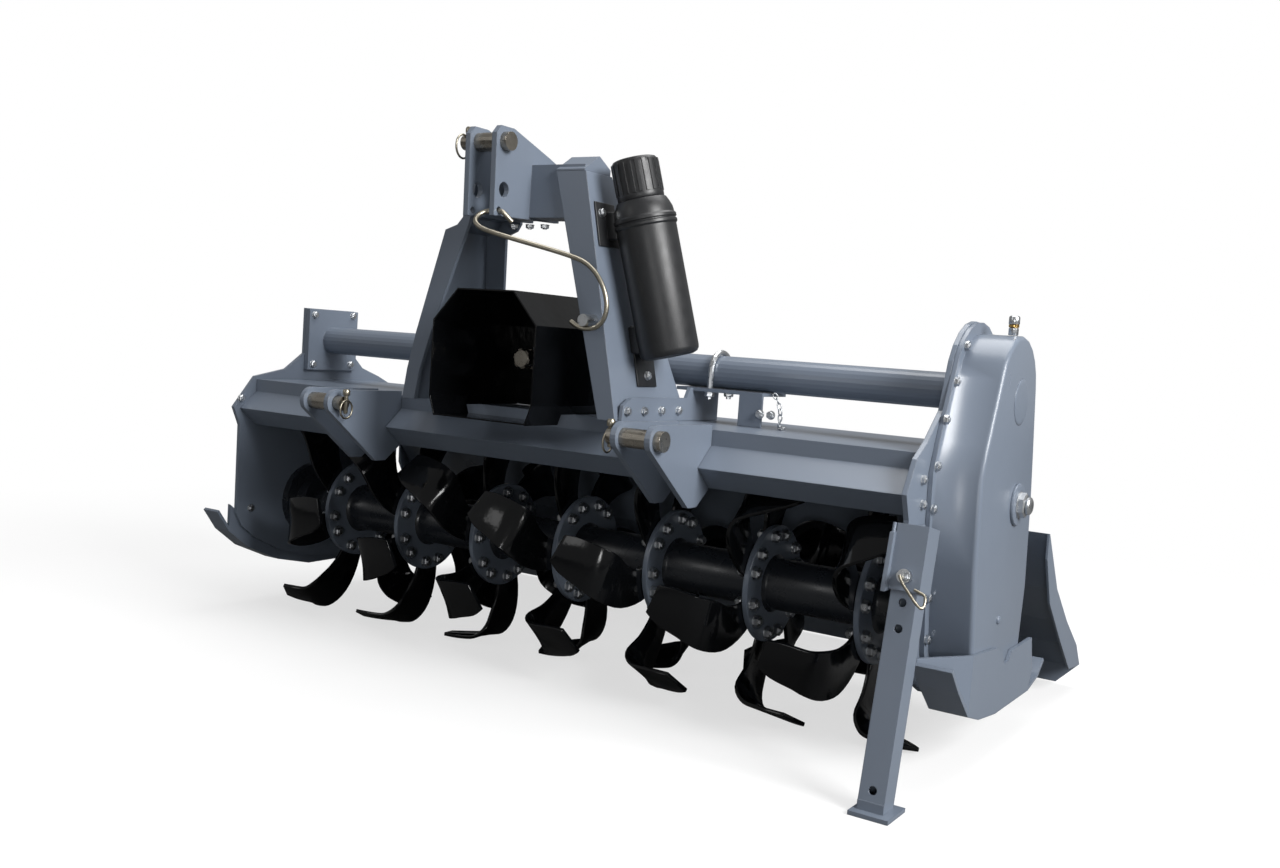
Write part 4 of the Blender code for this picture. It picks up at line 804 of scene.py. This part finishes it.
CAN_R = 0.0500
CAN_OUT = 0.060                         # its axis from the leg's ridge
CAN_YS = (-0.1850, -0.1410)             # at its top and at its foot
CAP_R = 0.0400
CAP_LONG = 0.068
NECK_LONG = 0.030
can_top_z = TOP_PIN_Z - 0.013
can_foot_z = 0.594
can_top = at(ridge_x(can_top_z) + CAN_OUT, CAN_YS[0], can_top_z)
can_foot = at(ridge_x(can_foot_z) + CAN_OUT, CAN_YS[1], can_foot_z)
can_axis = (can_top - can_foot).normalized()
can_length = (can_top - can_foot).length
body_end = can_length - CAP_LONG - NECK_LONG
can_rows = [(0.0, 0.012), (0.0008, CAN_R - 0.012), (0.0040, CAN_R - 0.004),
            (0.0090, CAN_R - 0.0008), (0.0140, CAN_R), (0.150, CAN_R),
            (body_end - 0.016, CAN_R), (body_end - 0.0145, CAN_R + 0.0012),
            (body_end - 0.013, CAN_R + 0.0024), (body_end - 0.009, CAN_R + 0.0024),
            (body_end - 0.0075, CAN_R + 0.0004), (body_end - 0.006, CAN_R + 0.0004),
            (body_end - 0.0045, CAN_R + 0.0024), (body_end, CAN_R + 0.0024),
            (body_end + 0.003, CAN_R), (body_end + 0.012, CAN_R - 0.001),
            (body_end + 0.022, CAP_R + 0.005), (body_end + 0.028, CAP_R + 0.002),
            (body_end + 0.0295, CAP_R + 0.001)]
canister_body = lathe("canister_body", can_rows, aim(can_foot, can_axis), 64)
settle(canister_body, moulded_black, "frame", 30.0)
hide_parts("canister")

# Its two tabs, of the same plastic. Rows: low z, high z, front y, rear y and reach out of the leg's
# ridge, first of the two pads against the body, then of the two plates bolted to the leg
CAN_BLOCKS = [(can_top_z - 0.134, can_top_z - 0.088, -0.204, -0.192, 0.022),
              (can_foot_z + 0.002, can_foot_z + 0.046, -0.172, -0.130, 0.020),
              (0.7680, 0.8400, -0.2300, -0.1740, 0.0038),
              (0.5420, 0.6420, -0.1640, -0.1060, 0.0038)]
BLOCK_GAP = 0.0006
BLOCK_ROUND = 0.003
blocks = []
for low_z, high_z, front_y, rear_y, reach in CAN_BLOCKS:
    block_low = at(ridge_x(low_z) + BLOCK_GAP, front_y, low_z)
    block_high = at(ridge_x(low_z) + reach, rear_y, high_z)
    bpy.ops.mesh.primitive_cube_add(size=1.0, location=(block_low + block_high) / 2)
    block = bpy.context.object
    block.scale = block_high - block_low
    bpy.ops.object.transform_apply(location=True, rotation=True, scale=True)
    bpy.ops.object.mode_set(mode="EDIT")
    pick(block, lambda f: f.normal.z > 0.9)
    bpy.ops.transform.translate(value=(ridge_x(high_z) - ridge_x(low_z), 0.0, 0.0))
    pick(block, lambda f: True, "edges")
    bpy.ops.mesh.bevel(offset=min(BLOCK_ROUND, reach * 0.3), segments=3)
    bpy.ops.object.mode_set(mode="OBJECT")
    blocks.append(block)
canister_brackets = joined(blocks, "canister_brackets")
settle(canister_brackets, moulded_black, "frame", 30.0)
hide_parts("canister")
BRACKET_BOLTS = [(-0.2165, 0.8220), (-0.1340, 0.5600)]   # y and z
BRACKET_FACE = 0.0040                   # of the bolted plates, out of the leg's ridge
leg_out = -Vector((LEG_FOOT[0] - LEG_HEAD[0], 0.0, LEG_HEAD[1] - LEG_FOOT[1]))
bracket_bolts = copies(hex_head(*M8_HEAD), "bracket_bolts",
                       [aim(at(ridge_x(z) + BRACKET_FACE, y, z), leg_out)
                        for y, z in BRACKET_BOLTS])
settle(bracket_bolts, zinc, "frame", 25.0)

# Its cap, with fine upright ribs that a hand can grip
CAP_RIBS = 20
RIB_SPAN = (0.010, 0.064)
RIB_OUT = 0.0015
CAP_START = 0.0303                      # of the cap's rim, beyond the end of the body
cap_rows = [(0.0, CAP_R - 0.0022), (0.002, CAP_R - 0.0012), (0.008, CAP_R - 0.0012),
            (0.010, CAP_R - 0.0016), (0.056, CAP_R - 0.0016), (0.062, CAP_R - 0.0020),
            (0.066, CAP_R - 0.0045), (0.0675, CAP_R - 0.0085), (0.0670, CAP_R - 0.0110)]
cap_place = aim(can_foot + can_axis * (body_end + CAP_START), can_axis)
cap = lathe("ribbed_cap", cap_rows, Matrix.Identity(4), CAP_RIBS * 4)
bpy.ops.object.mode_set(mode="EDIT")


def on_rib(face):
    """Side faces of the cap that a rib stands on: two in four round it."""
    middle = face.calc_center_median()
    turn = math.degrees(math.atan2(middle.y, middle.x)) % 360
    strip = int(turn / (360 / (CAP_RIBS * 4)))
    upright = abs(face.normal.z) < 0.3
    return upright and RIB_SPAN[0] < middle.z < RIB_SPAN[1] and strip % 4 in (0, 1)


pick(cap, on_rib)
bpy.ops.mesh.extrude_region_shrink_fatten(TRANSFORM_OT_shrink_fatten={"value": RIB_OUT})
bpy.ops.object.mode_set(mode="OBJECT")
cap.data.transform(cap_place)
settle(cap, moulded_black, "frame", 30.0)
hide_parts("canister_cap")


# Plug and breather of the chain case: a painted boss with a zinc hexagon plug through which the
# chain is tightened, and a vent cap screwed into a brass collar on top.
PLUG = (0.8056, 0.070, 0.402)
HEXAGON_SEAT = (0.8100, 0.070, 0.402)
CAP_NUT_SEAT = (0.8225, 0.070, 0.402)
plug_rows = [(0.0, 0.0338), (0.0030, 0.0338), (0.0042, 0.0330), (0.0048, 0.0290), (0.0050, 0.0250)]
plug_boss = lathe("plug_boss", plug_rows, aim(at(*PLUG), (1, 0, 0)), 48)
settle(plug_boss, powder_coat, "frame")
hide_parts("tensioner_plug")
plug_hexagon = copies(hex_head(0.0350, 0.0105), "plug_hexagon",
                      [aim(at(*HEXAGON_SEAT), (1, 0, 0))])
cap_nut_steps = [(0.0, 0.0135), (0.0010, 0.0145), (0.0035, 0.0145), (0.0058, 0.0130),
                 (0.0072, 0.0105), (0.0080, 0.0070), (0.0083, 0.0030)]
cap_nut = lathe("cap_nut", cap_nut_steps, aim(at(*CAP_NUT_SEAT), (1, 0, 0)), 32)
plug_hexagon = joined([plug_hexagon, cap_nut], "plug_hexagon")
settle(plug_hexagon, zinc, "frame", 25.0)
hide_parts("tensioner_plug")

# Pressed into the cover's face: a round boss over the upper sprocket and a small drain screw's seat
SPROCKET_BOSS = (0.8051, 0.0440, 0.5640)
DRAIN_SEAT = (0.8051, 0.0268, 0.2231)
boss_steps = [(0.0, 0.0370), (0.0004, 0.0362), (0.0012, 0.0345), (0.0017, 0.0325),
              (0.0019, 0.0300), (0.0019, 0.0100)]
seat_steps = [(0.0, 0.0070), (0.0018, 0.0066), (0.0032, 0.0052), (0.0040, 0.0030)]
sprocket_boss = lathe("boss", boss_steps, aim(at(*SPROCKET_BOSS), (1, 0, 0)), 48)
drain_seat = lathe("seat", seat_steps, aim(at(*DRAIN_SEAT), (1, 0, 0)), 20)
case_bosses = joined([sprocket_boss, drain_seat], "case_bosses")
settle(case_bosses, powder_coat, "frame")

brass, tree, shader, where = surface("turned_brass", 0.25, metallic=1.0)
two_tone(tree, shader, where, "#b08d4f", "#c7a668", 150.0)
sheen_range(tree, shader, where, 0.18, 0.32, 300.0)
BREATHER = (0.78655, 0.034, 0.6663)
BRASS_RING_UP = 0.0122
breather_rows = [(0.0, 0.0070), (0.0010, 0.0076), (0.0110, 0.0076), (0.0120, 0.0060),
                 (0.0165, 0.0060), (0.0170, 0.0080), (0.0180, 0.0084), (0.0275, 0.0084),
                 (0.0290, 0.0078), (0.0302, 0.0060)]
ring_rows = [(0.0, 0.0072), (0.0006, 0.0080), (0.0040, 0.0080), (0.0046, 0.0072)]
breather_cap = lathe("breather_cap", breather_rows, aim(at(*BREATHER), (0, 0, 1)), 32)
settle(breather_cap, zinc, "frame")
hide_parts("breather")
ring_seat = at(BREATHER[0], BREATHER[1], BREATHER[2] + BRASS_RING_UP)
brass_ring = lathe("brass_ring", ring_rows, aim(ring_seat, (0, 0, 1)), 32)
settle(brass_ring, brass, "frame")


# Input shaft: the gearbox's forged and hobbed six-spline shaft, 35 mm across, ground bright, with
# a turned groove near its end that the tractor's drive yoke locks into.
TOOTH_OUT = 0.0014
GROOVE = (0.020, 0.028)                 # from the shaft's front end
input_low, input_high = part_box("input_shaft")
spline_length = input_high.y - input_low.y
spline_rows = [(0.0, 0.0145), (0.0015, 0.0160), (GROOVE[0], 0.0160), (0.0210, 0.0145),
               (0.0270, 0.0145), (GROOVE[1], 0.0160), (spline_length - 0.001, 0.0160),
               (spline_length, 0.0155)]
shaft = lathe("splined_shaft", spline_rows, Matrix.Identity(4), 36)
bpy.ops.object.mode_set(mode="EDIT")


def on_spline(face):
    """Faces under a tooth: three strips of each six, clear of the groove."""
    middle = face.calc_center_median()
    strip = int((math.degrees(math.atan2(middle.y, middle.x)) % 360) / 10)
    clear = 0.0015 < middle.z < GROOVE[0] or middle.z > GROOVE[1]
    return abs(face.normal.z) < 0.3 and strip % 6 < 3 and clear


pick(shaft, on_spline)
bpy.ops.mesh.extrude_region_shrink_fatten(TRANSFORM_OT_shrink_fatten={"value": TOOTH_OUT})
bpy.ops.object.mode_set(mode="OBJECT")
shaft_front = Vector(((input_low.x + input_high.x) / 2, input_low.y,
                      (input_low.z + input_high.z) / 2))
shaft.data.transform(aim(shaft_front, (0, 1, 0)))
settle(shaft, pin_steel, "input", 25.0)
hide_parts("input_shaft")


# Floor and light: a plain pale studio floor and soft white lamps, the strongest from the chain-case
# side. The background is white to the lens and dim in gloss; the floor keeps the machine's shadow.
FLOOR_SIZE = 40.0
FLOOR_Z = -0.0005
bpy.ops.mesh.primitive_plane_add(size=FLOOR_SIZE, location=(0.0, 0.0, FLOOR_Z))
floor = bpy.context.object
floor.name = "studio_floor"
floor_paint = bpy.data.materials.new("white_studio_floor")
floor_paint.use_nodes = True
tree = floor_paint.node_tree
tree.nodes.remove(tree.nodes["Principled BSDF"])
path = add_node(tree, "ShaderNodeLightPath", {})
looked_at = add_node(tree, "ShaderNodeMath", {"operation": "MAXIMUM"},
                     {0: path.outputs["Is Camera Ray"], 1: path.outputs["Is Transmission Ray"]})
shade = add_node(tree, "ShaderNodeMix",
                 {"data_type": "RGBA", 6: linear("#6a6a6a"), 7: linear("#f4f4f4")},
                 {0: looked_at.outputs[0]})
matt = add_node(tree, "ShaderNodeBsdfDiffuse", {}, {"Color": shade.outputs[2]})
glow = add_node(tree, "ShaderNodeEmission", {"Color": (1.0, 1.0, 1.0, 1.0), "Strength": 1.0})
spot = add_node(tree, "ShaderNodeTexCoord", {})
reach = add_node(tree, "ShaderNodeVectorMath", {"operation": "LENGTH"}, {0: spot.outputs["Object"]})
fade = add_node(tree, "ShaderNodeMapRange",
                {"interpolation_type": "SMOOTHSTEP", "From Min": 1.0, "From Max": 2.6,
                 "To Min": 0.66, "To Max": 1.0}, {"Value": reach.outputs["Value"]})
share = add_node(tree, "ShaderNodeMath", {"operation": "MULTIPLY"},
                 {0: looked_at.outputs[0], 1: fade.outputs["Result"]})
blend = add_node(tree, "ShaderNodeMixShader", {},
                 {0: share.outputs[0], 1: matt.outputs[0], 2: glow.outputs[0]})
tree.links.new(blend.outputs[0], tree.nodes["Material Output"].inputs["Surface"])
floor.data.materials.append(floor_paint)

world = bpy.data.worlds.new("studio")
world.use_nodes = True
bpy.context.scene.world = world
tree = world.node_tree
sky = tree.nodes["Background"]
sky.inputs["Color"].default_value = (1.0, 1.0, 1.0, 1.0)
path = add_node(tree, "ShaderNodeLightPath", {})
shown = add_node(tree, "ShaderNodeMath", {"operation": "MAXIMUM"},
                 {0: path.outputs["Is Camera Ray"], 1: path.outputs["Is Transmission Ray"]})
mirrored = add_node(tree, "ShaderNodeMath", {"operation": "MULTIPLY", 1: 0.20},
                    {0: path.outputs["Is Glossy Ray"]})
seen = add_node(tree, "ShaderNodeMath", {"operation": "MAXIMUM"},
                {0: shown.outputs[0], 1: mirrored.outputs[0]})
strength = add_node(tree, "ShaderNodeMath", {"operation": "MAXIMUM", 1: 0.29},
                    {0: seen.outputs[0]})
tree.links.new(strength.outputs[0], sky.inputs["Strength"])

# rows: name, place, watts, width of the lamp
LAMPS = [("key_lamp", (4.2, -1.0, 2.6), 290.0, 2.0), ("top_lamp", (0.3, 0.6, 3.6), 100.0, 2.6),
         ("front_lamp", (-2.0, -4.2, 2.2), 11.0, 1.2),
         ("low_window", (2.3, -4.2, 0.75), 18.0, 0.45)]
LAMP_AIM = Vector((0.0, 0.0, 0.4))
for name, place, watts, width in LAMPS:
    lamp_data = bpy.data.lights.new(name, "AREA")
    lamp_data.energy = watts
    lamp_data.size = width
    lamp = bpy.data.objects.new(name, lamp_data)
    lamp.location = place
    lamp.rotation_euler = (LAMP_AIM - Vector(place)).to_track_quat("-Z", "Y").to_euler()
    bpy.context.scene.collection.objects.link(lamp)

bpy.context.scene.view_settings.view_transform = "Standard"
